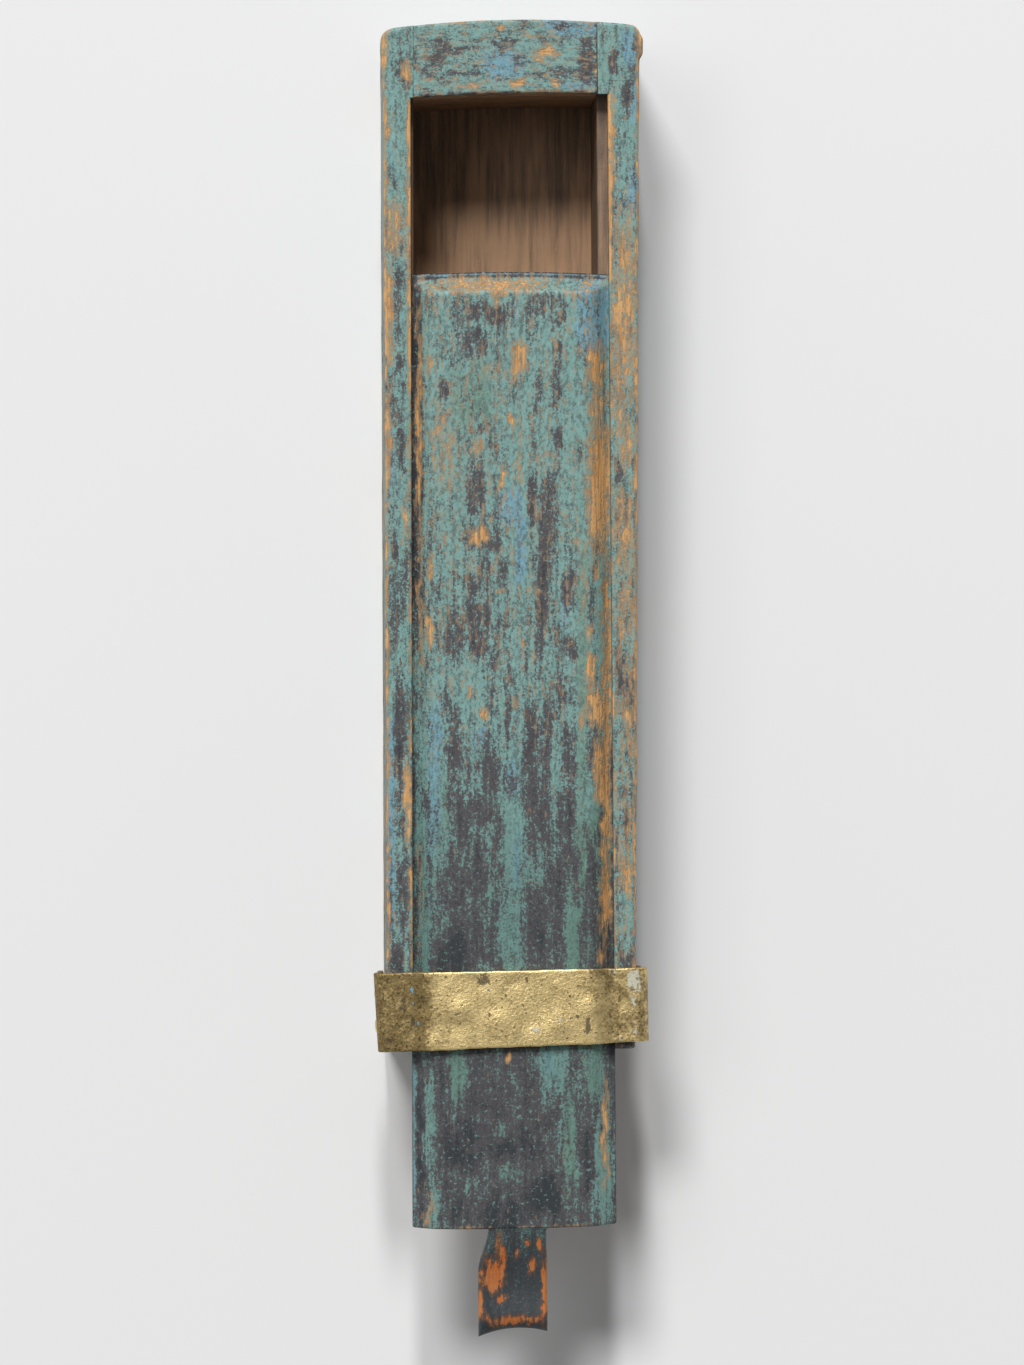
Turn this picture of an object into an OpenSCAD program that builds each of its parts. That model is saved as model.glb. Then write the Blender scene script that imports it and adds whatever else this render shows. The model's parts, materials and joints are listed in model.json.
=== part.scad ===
// Pen box with a sliding lid. Side boards, a head block and a low foot block stand on a nailed
// floor board. A raised-panel lid with a carved pull runs in a rebate and groove along the side
// boards, and a bent brass strap across the foot end keeps the lid down.
// X runs across the box, +Y points to the head end and +Z is up. Z = 0 is the table.

/* [Box] */
// Length from the foot end to the crown of the head end
body_length = 206; // [180:1:240]
// Width over the side boards at the head end
head_width = 51.6; // [47:0.2:60]
// Width over the side boards at the foot end
foot_width = 50; // [47:0.2:60]
// Height from the table to the top of the side boards
body_height = 37; // [34:0.5:50]
// Thickness of the lips of the side boards at the head end
head_lip = 6.1; // [5:0.1:7]
// Thickness of the lips of the side boards at the foot end
foot_lip = 4.8; // [4.5:0.1:7]
// Ledge under the lid on the left side board
left_ledge = 0.6; // [0.1:0.1:3]
// Ledge under the lid on the right side board
right_ledge = 2; // [0.1:0.1:3]
// Thickness of the floor board
floor_thick = 6; // [5:0.5:9]
// Thickness of the head block at its middle
head_block_thick = 14.8; // [12:0.2:22]
// Thickness of the foot block
foot_block_thick = 14; // [12:0.5:20]
// Radius of the bowed head end
crown_radius = 215; // [150:5:400]
// Sideways shift of the crown of the head end
crown_shift = 4; // [-6:0.5:6]
// Radius of the two corners at the head end
head_corner_radius = 2; // [0.5:0.1:3.5]

/* [Lid channel] */
// Height of the lip left above the groove
lip_height = 2.4; // [1.5:0.1:3.5]
// Height of the groove
groove_height = 2.6; // [2:0.1:3.5]
// Depth of the groove under each lip
groove_depth = 0.9; // [0.6:0.1:1.8]
// Depth of the groove across the head block
head_groove_depth = 1.5; // [1:0.1:3]
// Radius to which the lid's end and the face of the head block are bowed
end_bow_radius = 350; // [250:10:600]
// Angle by which the channel, with the lid in it, is turned against the box
channel_skew = 0.3; // [0:0.1:0.6]
// Angle by which the face of the head block is out of square with the channel
head_face_skew = 1; // [0:0.1:1.2]
// Running clearance round the tongue of the lid
lid_clearance = 0.2; // [0.1:0.05:0.4]

/* [Lid] */
// Height of the raised field above the side boards
lid_rise = 0.6; // [0:0.1:1.5]
// Width of the bevel along each side of the field
side_bevel = 3.6; // [2:0.1:6]
// Length of the bevel at the head end of the field
head_bevel = 2.2; // [1:0.1:5]
// Flat strip of tongue that shows between a lip and the bevel
tongue_show = 0.4; // [0.2:0.1:1]
// How far the closed lid stops short of the foot end
lid_setback = 1.3; // [0:0.1:3]
// Angle by which the foot end of the lid is out of square
lid_end_skew = 0.6; // [0:0.1:2]
// Gap between the head block and the lid as it stands part open
lid_gap = 35.6; // [0:0.2:120]

/* [Pull] */
// Length of the pull beyond the lid
pull_length = 22; // [14:0.2:30]
// Width of the pull at its neck
pull_neck_width = 11.4; // [8:0.2:16]
// Width of the pull at its lip
pull_lip_width = 13.8; // [9:0.2:20]
// Sideways shift of the neck from the middle of the lid
pull_neck_shift = 0.5; // [-3:0.1:3]
// Sideways shift of the lip from the middle of the lid
pull_lip_shift = -0.5; // [-3:0.1:3]
// Step down from the field, and up from the underside, where the pull leaves the lid
pull_step = 0.3; // [0.1:0.1:0.8]
// Depth of the thumb hollow below the field
thumb_hollow = 1.5; // [0.5:0.1:2.5]
// How far the side edges of the pull turn up
pull_dish = 0.9; // [0:0.1:2]
// How far the middle of the end is cut back between its corners
end_hollow = 1.5; // [0:0.1:3]

/* [Strap] */
// Width of the brass strip
strap_width = 15.2; // [11:0.2:22]
// Thickness of the brass strip
strap_thick = 1.2; // [0.8:0.1:2]
// Gap between the strap and the field of the lid
strap_lid_gap = 0.4; // [0.2:0.1:1]
// How far the bends of the strap stand out past its legs
strap_bulge = 1; // [0.6:0.1:2]
// Height on each side over which the bulge dies away
strap_tuck = 4; // [3:0.5:6]
// Least gap between a leg of the strap and its side board
strap_side_gap = 0.1; // [0.05:0.05:0.4]
// How far the legs reach below the top of the side boards
strap_leg = 11; // [10:0.5:20]
// Distance of the strap from the foot end
strap_setback = 0.5; // [0:0.1:3]
// Angle by which the strap sits out of square
strap_skew = 1.3; // [0:0.1:2]

/* [Nails] */
// Diameter of a nail's shank
nail_diameter = 1.4; // [1:0.1:1.8]
// Diameter of a nail's head
nail_head_diameter = 3.4; // [2.6:0.1:4]
// Height of a nail's head
nail_head_height = 0.7; // [0.4:0.1:1]
// Length that a nail goes into the second piece of wood
nail_bite = 8; // [5:0.5:10]
// Length of a nail's point
nail_point = 2; // [1:0.5:3]
// Gap between a nail's shank and its hole
nail_fit = 0.05; // [0.03:0.01:0.1]
// Distance between the two tacks in a leg of the strap
tack_gap = 6.4; // [5:0.2:8]
// Number of nails through the floor into each side board
floor_nail_count = 4; // [3:1:6]
// Distance of the end nails of the floor from the ends of the box
floor_nail_inset = 21; // [19:1:30]

/* [Hidden] */
$fn = 48;

LEFT = -1;
RIGHT = 1;
PAINT = "#6f9c98";
PAINT_DARK = "#55605f";
BRASS = "#b39a55";
IRON = "#4a4643";

// A length that carries a cut clear of the face it starts from
past = 1;

function lerp(a, b, t) = a + (b - a) * t;
function unit(t) = min(1, max(0, t));
function ease(t) = (1 - cos(180 * unit(t))) / 2;
function reversed(list) = [for (i = [len(list) - 1:-1:0]) list[i]];
function mirrored(list) = [for (p = list) [-p[0], p[1]]];

head_y = body_length / 2;
foot_y = -body_length / 2;
head_face_y = head_y - head_block_thick;
foot_face_y = foot_y + foot_block_thick;

// The side boards taper from the head to the foot, so every half width is a function of y
function share(y) = (y - foot_y) / body_length;
function outer_half(y) = lerp(foot_width, head_width, share(y)) / 2;
function inner_half(y) = outer_half(y) - lerp(foot_lip, head_lip, share(y));
function lid_half(y) = inner_half(y) + groove_depth - lid_clearance;

// The head end is an arc, and a small circle rounds it into each side
crown_y = head_y - crown_radius;
function corner_y(side) =
  crown_y + sqrt(
    pow(crown_radius - head_corner_radius, 2)
    - pow(side * (head_width / 2 - head_corner_radius) - crown_shift, 2)
  );
function corner_x(side) = side * (outer_half(corner_y(side)) - head_corner_radius);
near_corner_y = min(corner_y(LEFT), corner_y(RIGHT));

groove_top = body_height - lip_height;
groove_floor = groove_top - groove_height;
bow_y = head_face_y - end_bow_radius;

// The lid is drawn closed and then slid open by lid_travel
lid_bow_radius = end_bow_radius + head_groove_depth - lid_clearance;
lid_head_y = bow_y + lid_bow_radius;
lid_foot_y = foot_y + lid_setback;
lid_under = groove_floor + lid_clearance;
lid_top = body_height + lid_rise;
lid_thick = lid_top - lid_under;
tongue_top = groove_top - lid_clearance;
lid_travel = lid_gap + lid_head_y - head_face_y;
lid_taper = atan((lid_half(foot_y) - lid_half(head_y)) / body_length);
side_tongue = groove_depth - lid_clearance + tongue_show;
head_tongue = head_groove_depth - lid_clearance + tongue_show;

// Out of square, the edges of the strap swing towards the side boards by skew_play
skew_play = strap_width / 2 * sin(strap_skew);
strap_y = foot_y + strap_setback + strap_width / 2;
strap_bend_x = outer_half(strap_y + strap_width / 2) + skew_play;
strap_leg_x = strap_bend_x + strap_side_gap;
strap_straight_top = body_height - strap_bulge - strap_tuck;
strap_low = body_height - strap_leg;

tack_z = (strap_low + strap_straight_top) / 2;
tack_shank = strap_thick + strap_side_gap + 2 * skew_play + foot_lip + right_ledge + nail_bite;
foot_nail_y = (foot_y + foot_face_y) / 2;
side_nail_y = (head_face_y + near_corner_y) / 2;
side_nail_rows = [for (t = [0.3, 0.75]) lerp(floor_thick, groove_floor, t)];
side_nail_shank = head_lip + right_ledge + nail_bite;
floor_nail_shank = floor_thick - nail_head_height + nail_bite;

// Shapes in plan

module body_plan() {
  polygon([
    [-outer_half(foot_y), foot_y],
    [outer_half(foot_y), foot_y],
    [outer_half(corner_y(RIGHT)), corner_y(RIGHT)],
    [-outer_half(corner_y(LEFT)), corner_y(LEFT)],
  ]);
  intersection() {
    translate([crown_shift, crown_y]) circle(crown_radius, $fn = 180);
    translate([corner_x(LEFT), near_corner_y - past])
      square([corner_x(RIGHT) - corner_x(LEFT), body_length]);
  }
  for (side = [LEFT, RIGHT])
    translate([corner_x(side), corner_y(side)]) circle(head_corner_radius);
}

// The space between the side boards, moved out at each side by the given amounts
module channel_plan(left = 0, right = 0) {
  y_from = foot_y - past;
  y_to = head_y + past;
  polygon([
    [-inner_half(y_from) - left, y_from],
    [inner_half(y_from) + right, y_from],
    [inner_half(y_to) + right, y_to],
    [-inner_half(y_to) - left, y_to],
  ]);
}

// What lies on the foot side of the bowed face of the head block
module face_plan() {
  translate([0, head_face_y])
    rotate(head_face_skew)
      translate([0, -end_bow_radius]) circle(end_bow_radius, $fn = 180);
}

// The channel and the lid are drawn square and then turned together
module in_channel() { rotate([0, 0, channel_skew]) children(); }

module lid_rebate() {
  in_channel()
    translate([0, 0, groove_floor])
      linear_extrude(body_height + past - groove_floor)
        intersection() {
          channel_plan();
          face_plan();
        }
}

module lid_groove() {
  in_channel()
    translate([0, 0, groove_floor])
      linear_extrude(groove_height)
        intersection() {
          channel_plan(groove_depth, groove_depth);
          translate([0, bow_y]) circle(end_bow_radius + head_groove_depth, $fn = 180);
        }
}

// Nails

// Shares of a nail head's radius and height that give it a low crown
crown_radius_share = 0.6;
crown_height_share = 0.85;
rim_height_share = 0.3;

// A nail along +Z with its point at the top and the underside of its head at z = 0
module nail(shank_length) {
  shank_r = nail_diameter / 2;
  head_r = nail_head_diameter / 2;
  rotate_extrude()
    polygon([
      [0, -nail_head_height],
      [head_r * crown_radius_share, -nail_head_height * crown_height_share],
      [head_r, -nail_head_height * rim_height_share],
      [head_r, 0],
      [shank_r, 0],
      [shank_r, shank_length - nail_point],
      [0, shank_length],
    ]);
}

module nail_hole(shank_length) {
  translate([0, 0, -past])
    cylinder(d = nail_diameter + 2 * nail_fit, h = shank_length + past + nail_fit);
}

// A hole with a seat for the nail's head
module sunk_nail_hole(shank_length) {
  nail_hole(shank_length);
  translate([0, 0, -nail_head_height - past])
    cylinder(d = nail_head_diameter + 2 * nail_fit, h = nail_head_height + past + nail_fit);
}

// Children stand where each tack of the strap goes, with +Z pointing into the wood
module at_strap_tacks() {
  translate([0, strap_y, 0])
    rotate([0, 0, strap_skew])
      for (side = [LEFT, RIGHT], along = [-tack_gap / 2, tack_gap / 2])
        translate([side * (strap_leg_x + strap_thick + nail_fit), along, tack_z])
          rotate([0, -90 * side, 0])
            children();
}

module at_side_nails() {
  sunk = nail_head_height + nail_fit;
  for (side = [LEFT, RIGHT], z = side_nail_rows)
    translate([side * (outer_half(side_nail_y) - sunk), side_nail_y, z])
      rotate([0, -90 * side, 0])
        children();
}

// The floor nails go into the side boards, and one goes into each block
module at_floor_nails() {
  first = foot_y + floor_nail_inset;
  last = head_y - floor_nail_inset;
  head_z = nail_head_height + nail_fit;
  for (side = [LEFT, RIGHT], i = [0:floor_nail_count - 1]) {
    y = lerp(first, last, i / (floor_nail_count - 1));
    translate([side * (outer_half(y) + inner_half(y)) / 2, y, head_z]) children();
  }
  for (y = [foot_nail_y, side_nail_y])
    translate([0, y, head_z]) children();
}

module wall_nail_holes() {
  at_strap_tacks() nail_hole(tack_shank);
  at_side_nails() sunk_nail_hole(side_nail_shank);
  at_floor_nails() nail_hole(floor_nail_shank);
}

// Boards

module floor_board() {
  color(PAINT)
    difference() {
      linear_extrude(floor_thick) body_plan();
      at_floor_nails() sunk_nail_hole(floor_nail_shank);
    }
}

module side_board(side) {
  color(PAINT)
    difference() {
      translate([0, 0, floor_thick])
        linear_extrude(body_height - floor_thick)
          difference() {
            intersection() {
              body_plan();
              translate([side == LEFT ? -head_width : 0, -body_length])
                square([head_width, 2 * body_length]);
            }
            in_channel() channel_plan(-left_ledge, -right_ledge);
          }
      lid_rebate();
      lid_groove();
      wall_nail_holes();
    }
}

module left_side() { side_board(LEFT); }
module right_side() { side_board(RIGHT); }

module head_block() {
  color(PAINT)
    difference() {
      translate([0, 0, floor_thick])
        linear_extrude(body_height - floor_thick)
          difference() {
            intersection() {
              body_plan();
              in_channel() channel_plan(-left_ledge, -right_ledge);
            }
            in_channel() face_plan();
          }
      lid_groove();
      wall_nail_holes();
    }
}

module foot_block() {
  color(PAINT)
    difference() {
      translate([0, 0, floor_thick])
        linear_extrude(groove_floor - floor_thick)
          intersection() {
            in_channel() channel_plan(-left_ledge, -right_ledge);
            translate([-foot_width, foot_y]) square([2 * foot_width, foot_block_thick]);
          }
      wall_nail_holes();
    }
}

// Lid

// Outline of what a bevel takes off, with its origin at the lid's edge and the lid towards -X
module bevel_profile(tongue, bevel) {
  slope_past = bevel * past / (lid_top - tongue_top);
  polygon([
    [past, tongue_top],
    [-tongue, tongue_top],
    [-tongue - bevel - slope_past, lid_top + past],
    [past, lid_top + past],
  ]);
}

module side_bevel_cut() {
  translate([lid_half(head_y), head_y, 0])
    rotate([90, 0, lid_taper])
      translate([0, 0, -past])
        linear_extrude(2 * body_length) bevel_profile(side_tongue, side_bevel);
}

module head_bevel_cut() {
  translate([0, bow_y, 0])
    rotate_extrude($fn = 180)
      translate([lid_bow_radius, 0]) bevel_profile(head_tongue, head_bevel);
}

module lid_plan() {
  slant = tan(lid_end_skew);
  intersection() {
    channel_plan(groove_depth - lid_clearance, groove_depth - lid_clearance);
    translate([0, bow_y]) circle(lid_bow_radius, $fn = 180);
    polygon([
      [-foot_width, lid_foot_y - slant * foot_width],
      [foot_width, lid_foot_y + slant * foot_width],
      [foot_width, head_y],
      [-foot_width, head_y],
    ]);
  }
}

module lid_panel() {
  difference() {
    translate([0, 0, lid_under]) linear_extrude(lid_thick) lid_plan();
    side_bevel_cut();
    mirror([1, 0, 0]) side_bevel_cut();
    head_bevel_cut();
  }
}

// The pull is a loft of rounded sections. Station t runs from just inside the lid to the lip
// at t = 1, and a section is a squared ellipse that bends up at its two edges.
pull_root = -0.08;
pull_stations = 18;
pull_sides = 28;
pull_squareness = 0.45;
neck_end = 0.42;
roll_start = 0.8;
// Shares of the lid's thickness by which the lip rolls over at its top and under its end
roll_top_share = 0.5;
roll_under_share = 0.3;

function signed_power(v, p) = sign(v) * pow(abs(v), p);
// Drop of the lip, from 0 where it starts to roll over to 1 at its end, along a quarter circle
function roll(t) = 1 - sqrt(1 - pow(unit((t - roll_start) / (1 - roll_start)), 2));
function pull_width(t) = lerp(pull_neck_width, pull_lip_width, ease(t / neck_end));
function pull_middle(t) = lerp(pull_neck_shift, pull_lip_shift, ease(t / neck_end));
function pull_top(t) =
  lid_top - lerp(pull_step, thumb_hollow, pow(sin(180 * unit(t)), 2)) - roll_top_share * lid_thick * roll(t);
function pull_bottom(t) = lid_under + pull_step + roll_under_share * lid_thick * roll(t);
function pull_point(t, angle) =
  let (
    across = signed_power(cos(angle), pull_squareness),
    up = signed_power(sin(angle), pull_squareness),
    turn_up = pull_dish * pow(across, 2) * ease(t / neck_end),
    cut_back = end_hollow * pow(unit(t), 4) * (1 - pow(across, 2))
  )
  [
    pull_middle(t) + pull_width(t) / 2 * across,
    lid_foot_y - pull_length * t + cut_back,
    lerp(pull_bottom(t), pull_top(t), (1 + up) / 2) + turn_up,
  ];

module lid_pull() {
  // Half a step of turn keeps every point off the flat sides of the sections
  angles = [for (k = [0:pull_sides - 1]) 360 * (k + 0.5) / pull_sides];
  skin = [
    for (i = [0:pull_stations], angle = angles)
      pull_point(lerp(pull_root, 1, i / pull_stations), angle),
  ];
  lip_ring = pull_stations * pull_sides;
  caps = [
    [pull_middle(0), lid_foot_y - pull_length * pull_root, (lid_top + lid_under) / 2],
    [pull_middle(1), lid_foot_y - pull_length + end_hollow, (pull_top(1) + pull_bottom(1)) / 2],
  ];
  walls = [
    for (i = [0:pull_stations - 1], k = [0:pull_sides - 1])
      let (
        a = i * pull_sides + k,
        b = i * pull_sides + (k + 1) % pull_sides
      )
      each [[a, a + pull_sides, b + pull_sides], [a, b + pull_sides, b]],
  ];
  root_cap = [for (k = [0:pull_sides - 1]) [k, (k + 1) % pull_sides, len(skin)]];
  lip_cap = [
    for (k = [0:pull_sides - 1])
      [lip_ring + (k + 1) % pull_sides, lip_ring + k, len(skin) + 1],
  ];
  polyhedron(concat(skin, caps), concat(walls, root_cap, lip_cap));
}

module sliding_lid() {
  color(PAINT_DARK)
    in_channel()
      translate([0, -lid_travel, 0]) {
        lid_panel();
        lid_pull();
      }
}

// Strap

curve_steps = 8;
bend_steps = 6;
strap_lift = lid_rise + strap_lid_gap;
strap_seat_x = inner_half(strap_y) + tongue_show;
field_half = inner_half(strap_y) - tongue_show - side_bevel;

// One half of the strap's inner face, or of its outer face a thickness t away, from over the
// field of the lid, down to the side board, round the bend and down the leg
function strap_half(t) = concat(
  [
    for (i = [0:curve_steps])
      [
        lerp(field_half, strap_seat_x, i / curve_steps),
        body_height + strap_lift * (1 - ease(i / curve_steps)) + t,
      ],
  ],
  [
    for (i = [0:bend_steps])
      let (angle = 90 - 90 * i / bend_steps)
      [
        strap_bend_x + (strap_bulge + t) * cos(angle),
        body_height - strap_bulge + (strap_bulge + t) * sin(angle),
      ],
  ],
  [
    for (i = [1:curve_steps])
      [
        lerp(strap_bend_x + strap_bulge, strap_leg_x, ease(i / curve_steps)) + t,
        body_height - strap_bulge - strap_tuck * i / curve_steps,
      ],
  ],
  [[strap_leg_x + t, strap_low]]
);

module strap_profile() {
  inner = strap_half(0);
  outer = strap_half(strap_thick);
  polygon(concat(reversed(outer), mirrored(outer), reversed(mirrored(inner)), inner));
}

module lid_strap() {
  color(BRASS)
    difference() {
      translate([0, strap_y, 0])
        rotate([90, 0, strap_skew])
          linear_extrude(strap_width, center = true) strap_profile();
      at_strap_tacks() nail_hole(tack_shank);
    }
}

module strap_tacks() { color(BRASS) at_strap_tacks() nail(tack_shank); }
module side_nails() { color(IRON) at_side_nails() nail(side_nail_shank); }
module floor_nails() { color(IRON) at_floor_nails() nail(floor_nail_shank); }

floor_board();
left_side();
right_side();
head_block();
foot_block();
sliding_lid();
lid_strap();
strap_tacks();
side_nails();
floor_nails();
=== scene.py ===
"""Looks of a worn pen box with a sliding lid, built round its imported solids.

The file is laid out as an add-on: sizes and colours are properties, each group of pieces has an
operator, and a panel in the 3D view's sidebar lists them. Lengths in the code are millimetres in
the part's own frame (X across the box, +Y to the head end, +Z up), and meshes are in metres.
"""

import json

import bpy
import numpy as np
from bpy.props import FloatProperty, FloatVectorProperty, IntProperty, PointerProperty
from mathutils import Matrix, Vector


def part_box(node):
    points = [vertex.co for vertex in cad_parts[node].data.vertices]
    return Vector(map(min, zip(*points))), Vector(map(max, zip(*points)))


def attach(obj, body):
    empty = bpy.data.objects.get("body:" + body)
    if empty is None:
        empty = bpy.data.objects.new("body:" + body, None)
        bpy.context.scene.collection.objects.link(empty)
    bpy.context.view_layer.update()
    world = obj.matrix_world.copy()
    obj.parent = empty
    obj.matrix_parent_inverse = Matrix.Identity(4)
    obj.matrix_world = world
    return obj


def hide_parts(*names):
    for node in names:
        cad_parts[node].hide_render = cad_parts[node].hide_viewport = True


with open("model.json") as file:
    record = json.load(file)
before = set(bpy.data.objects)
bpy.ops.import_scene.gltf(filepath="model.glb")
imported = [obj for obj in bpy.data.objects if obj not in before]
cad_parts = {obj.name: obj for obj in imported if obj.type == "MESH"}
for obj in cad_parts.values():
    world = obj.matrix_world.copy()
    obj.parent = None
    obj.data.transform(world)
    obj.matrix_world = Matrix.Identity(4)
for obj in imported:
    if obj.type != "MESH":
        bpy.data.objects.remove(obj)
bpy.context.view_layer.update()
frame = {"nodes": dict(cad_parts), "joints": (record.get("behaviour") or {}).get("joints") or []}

bl_info = {
    "name": "Worn Pen Box",
    "version": (1, 0, 0),
    "blender": (4, 5, 0),
    "location": "3D View > Sidebar > Pen Box",
    "description": "Builds a pen box of worn painted wood with a sliding lid under a brass strap",
    "category": "Object",
}

MM = 0.001


def node_box(name):
    """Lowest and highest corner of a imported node, in millimetres."""
    return [np.array(corner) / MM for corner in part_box(name)]


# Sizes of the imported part, read from it where a node's box gives them
LEFT, RIGHT = -1, 1
FOOT_Y = node_box("left_side")[0][1]
HEAD_Y = node_box("head_block")[1][1]
BODY_TOP = node_box("left_side")[1][2]
FLOOR_TOP = node_box("floor_board")[1][2]
BLOCK_TOP = node_box("foot_block")[1][2]
FOOT_FACE_Y = node_box("foot_block")[1][1]
LID_UNDER = node_box("sliding_lid")[0][2]
LID_TRAVEL = -frame["joints"][0]["range_m"][0] / MM

# Sizes repeated from the part's source
FOOT_WIDTH, HEAD_WIDTH = 50.0, 51.6
FOOT_LIP, HEAD_LIP = 4.8, 6.1
LEDGE = {LEFT: 0.6, RIGHT: 2.0}
CROWN_RADIUS, CROWN_SHIFT = 215.0, 4.0
HEAD_CORNER = 2.0
BOW_RADIUS, BOW_CENTRE = 350.0, -261.8
GROOVE_FLOOR, GROOVE_TOP = 32.0, 34.6
GROOVE_DEPTH, HEAD_GROOVE = 0.9, 1.5
CLEARANCE = 0.2
TONGUE_TOP, FIELD_TOP = 34.4, 37.6
SIDE_TONGUE, SIDE_BEVEL = 1.1, 3.6
HEAD_TONGUE, HEAD_BEVEL = 1.7, 2.2
LID_SETBACK = 1.3
LID_FOOT = FOOT_Y + LID_SETBACK - LID_TRAVEL
LID_SKEW = np.tan(np.radians(0.6))
CHANNEL_SKEW = np.radians(0.3)
FACE_SLOPE, GROOVE_SLOPE = np.tan(np.radians(1.3)), np.tan(CHANNEL_SKEW)
PULL_LENGTH = 22.0
STRAP_SETBACK, STRAP_THICK = 8.1, 1.2
STRAP_Y = FOOT_Y + STRAP_SETBACK
STRAP_SKEW = np.radians(1.3)


def screen(red, green, blue):
    """Linear colour of an 8-bit screen colour."""
    share = np.array([red, green, blue]) / 255
    return tuple(np.where(share < 0.04045, share / 12.92, ((share + 0.055) / 1.055) ** 2.4))


def length(name, description, millimetres):
    """Length property with its default given in millimetres."""
    return FloatProperty(name=name, description=description, default=millimetres * MM, unit="LENGTH")


def paint(name, description, *levels):
    """Colour property with its default given as 8-bit screen levels."""
    return FloatVectorProperty(
        name=name, description=description, default=screen(*levels), subtype="COLOR", min=0, max=1
    )


def point(name, description, *metres):
    """Property for a point of the stage."""
    return FloatVectorProperty(
        name=name, description=description, default=metres, subtype="TRANSLATION", unit="LENGTH"
    )


def measure(name, description, default, unit="LENGTH"):
    """Number of the stage, in metres unless it has another unit."""
    return FloatProperty(name=name, description=description, default=default, unit=unit)


class PenBoxSizes(bpy.types.PropertyGroup):
    """Sizes of wear and hand work that a user may change."""

    outer_edge: length("Outer edge", "Mean rounding of the outer top edges", 0.8)
    lip_edge: length("Lip edge", "Rounding of the lips beside the lid", 0.4)
    end_edge: length("End edge", "Rounding of the ends of the boards", 0.6)
    board_sway: length("Board sway", "How far the planed faces wander", 0.12)
    bevel_edge: length("Bevel edge", "Rounding between the bevels and the field of the lid", 0.7)
    pull_edge: length("Pull edge", "Rounding of the edges of the pull", 1.3)
    strap_left_width: length("Strap left width", "Width of the strap at its left end", 15.8)
    strap_right_width: length("Strap right width", "Width of the strap at its right end", 14.8)
    hammer_depth: length("Hammer depth", "Depth of the deepest small hammer mark", 0.25)
    hammer_seed: IntProperty(name="Hammer seed", description="Seed of the hammer marks", default=11)
    grid: length("Grid", "Spacing of the points on worn faces", 0.45)


class PenBoxColours(bpy.types.PropertyGroup):
    """Colours of the finishes."""

    teal: paint("Teal", "Top coat of paint", 122, 161, 156)
    green: paint("Green", "Yellowed top coat", 108, 142, 126)
    blue: paint("Blue", "Fresher top coat", 114, 158, 174)
    # Deep teal and soot also paint shade along the lid's side tongues
    deep: paint("Deep teal", "Top coat darkened by handling", 88, 120, 112)
    dull: paint("Dull", "Grime in the top coat", 92, 110, 106)
    undercoat: paint("Undercoat", "Dark coat under the top coat", 79, 77, 80)
    soot: paint("Soot", "Darkest grime", 46, 53, 57)
    rim: paint("Rim", "Thin paint over wood round the worn places", 164, 138, 106)
    bare: paint("Bare wood", "Worn wood", 218, 170, 112)
    amber: paint("Amber wood", "Worn wood of the pull", 180, 94, 38)
    umber: paint("Umber", "Grimy wood round the worn places of the pull", 104, 72, 50)
    grain: paint("Grain", "Darker lines in worn wood", 172, 122, 74)
    inside: paint("Inside", "Unpainted wood inside the box", 184, 146, 112)
    # Inside stain is used for stains and for painted shade inside the box
    inside_stain_and_shade: paint("Inside stain", "Stained wood inside the box", 112, 94, 79)
    # Brass and tarnish also give the strap's painted highlights and painted shade
    brass: paint("Brass", "Rubbed brass", 244, 218, 156)
    tarnish: paint("Tarnish", "Dull brass", 142, 122, 80)
    stain: paint("Brass stain", "Pits and stains in the brass", 66, 56, 42)
    splash: paint("Splash", "White paint spots on the brass", 196, 196, 178)
    iron: paint("Iron", "Nail heads", 70, 62, 56)
    rust: paint("Rust", "Rust on the nail heads", 112, 68, 42)
    table: paint("Table", "Pale table under the box", 236, 236, 236)


class PenBoxStage(bpy.types.PropertyGroup):
    """Camera, light and table."""

    camera_place: point("Camera", "Place of the camera", -0.0423, -0.0297, 1.207)
    camera_aim: point("Aim", "Point that the camera looks at", 0.0001, -0.0297, 0.037)
    camera_lens: measure("Lens", "Focal length in millimetres", 154.4, "CAMERA")
    head_lamp: point("Head lamp", "Place of the window straight beyond the head end", -0.2, 4.68, 4.07)
    head_lamp_width: measure("Head lamp width", "Width of the window beyond the head end", 0.5)
    head_lamp_power: measure("Head lamp power", "Power of the window beyond the head end", 172, "POWER")
    left_lamp: point("Left lamp", "Place of the wider window left of the first", -1.22, 3.53, 4.7)
    left_lamp_width: measure("Left lamp width", "Width of the window on the left", 1.4)
    left_lamp_power: measure("Left lamp power", "Power of the window on the left", 190, "POWER")
    side_lamp: point("Side lamp", "Place of the weak lamp that lights the left side", -1.88, 0.86, 3.42)
    side_lamp_width: measure("Side lamp width", "Width of the weak lamp", 2)
    side_lamp_power: measure("Side lamp power", "Power of the weak lamp", 14, "POWER")
    lamp_height: measure("Lamp height", "Height of each window", 1.25)
    ceiling: measure("Ceiling", "Level of the room overhead", 0.16, "NONE")
    backdrop: measure("Backdrop", "Level of the room at eye height", 0.84, "NONE")
    table_side: measure("Table side", "Side of the table", 6)


# Numbers and shapes


def smooth(low, high, value):
    """Smoothstep of value from 0 at low to 1 at high, which may be the smaller limit."""
    t = np.clip((value - low) / (high - low), 0, 1)
    return t * t * (3 - 2 * t)


def soft_min(a, b, blend):
    """Lesser of a and b, rounded off where they come within blend of each other."""
    near = np.clip(blend - np.abs(a - b), 0, blend) / blend
    return np.minimum(a, b) - near * near * blend / 4


def bell(distance, reach):
    """Gaussian that falls from 1 at no distance to 1 / e at the reach."""
    return np.exp(-((distance / reach) ** 2))


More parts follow.
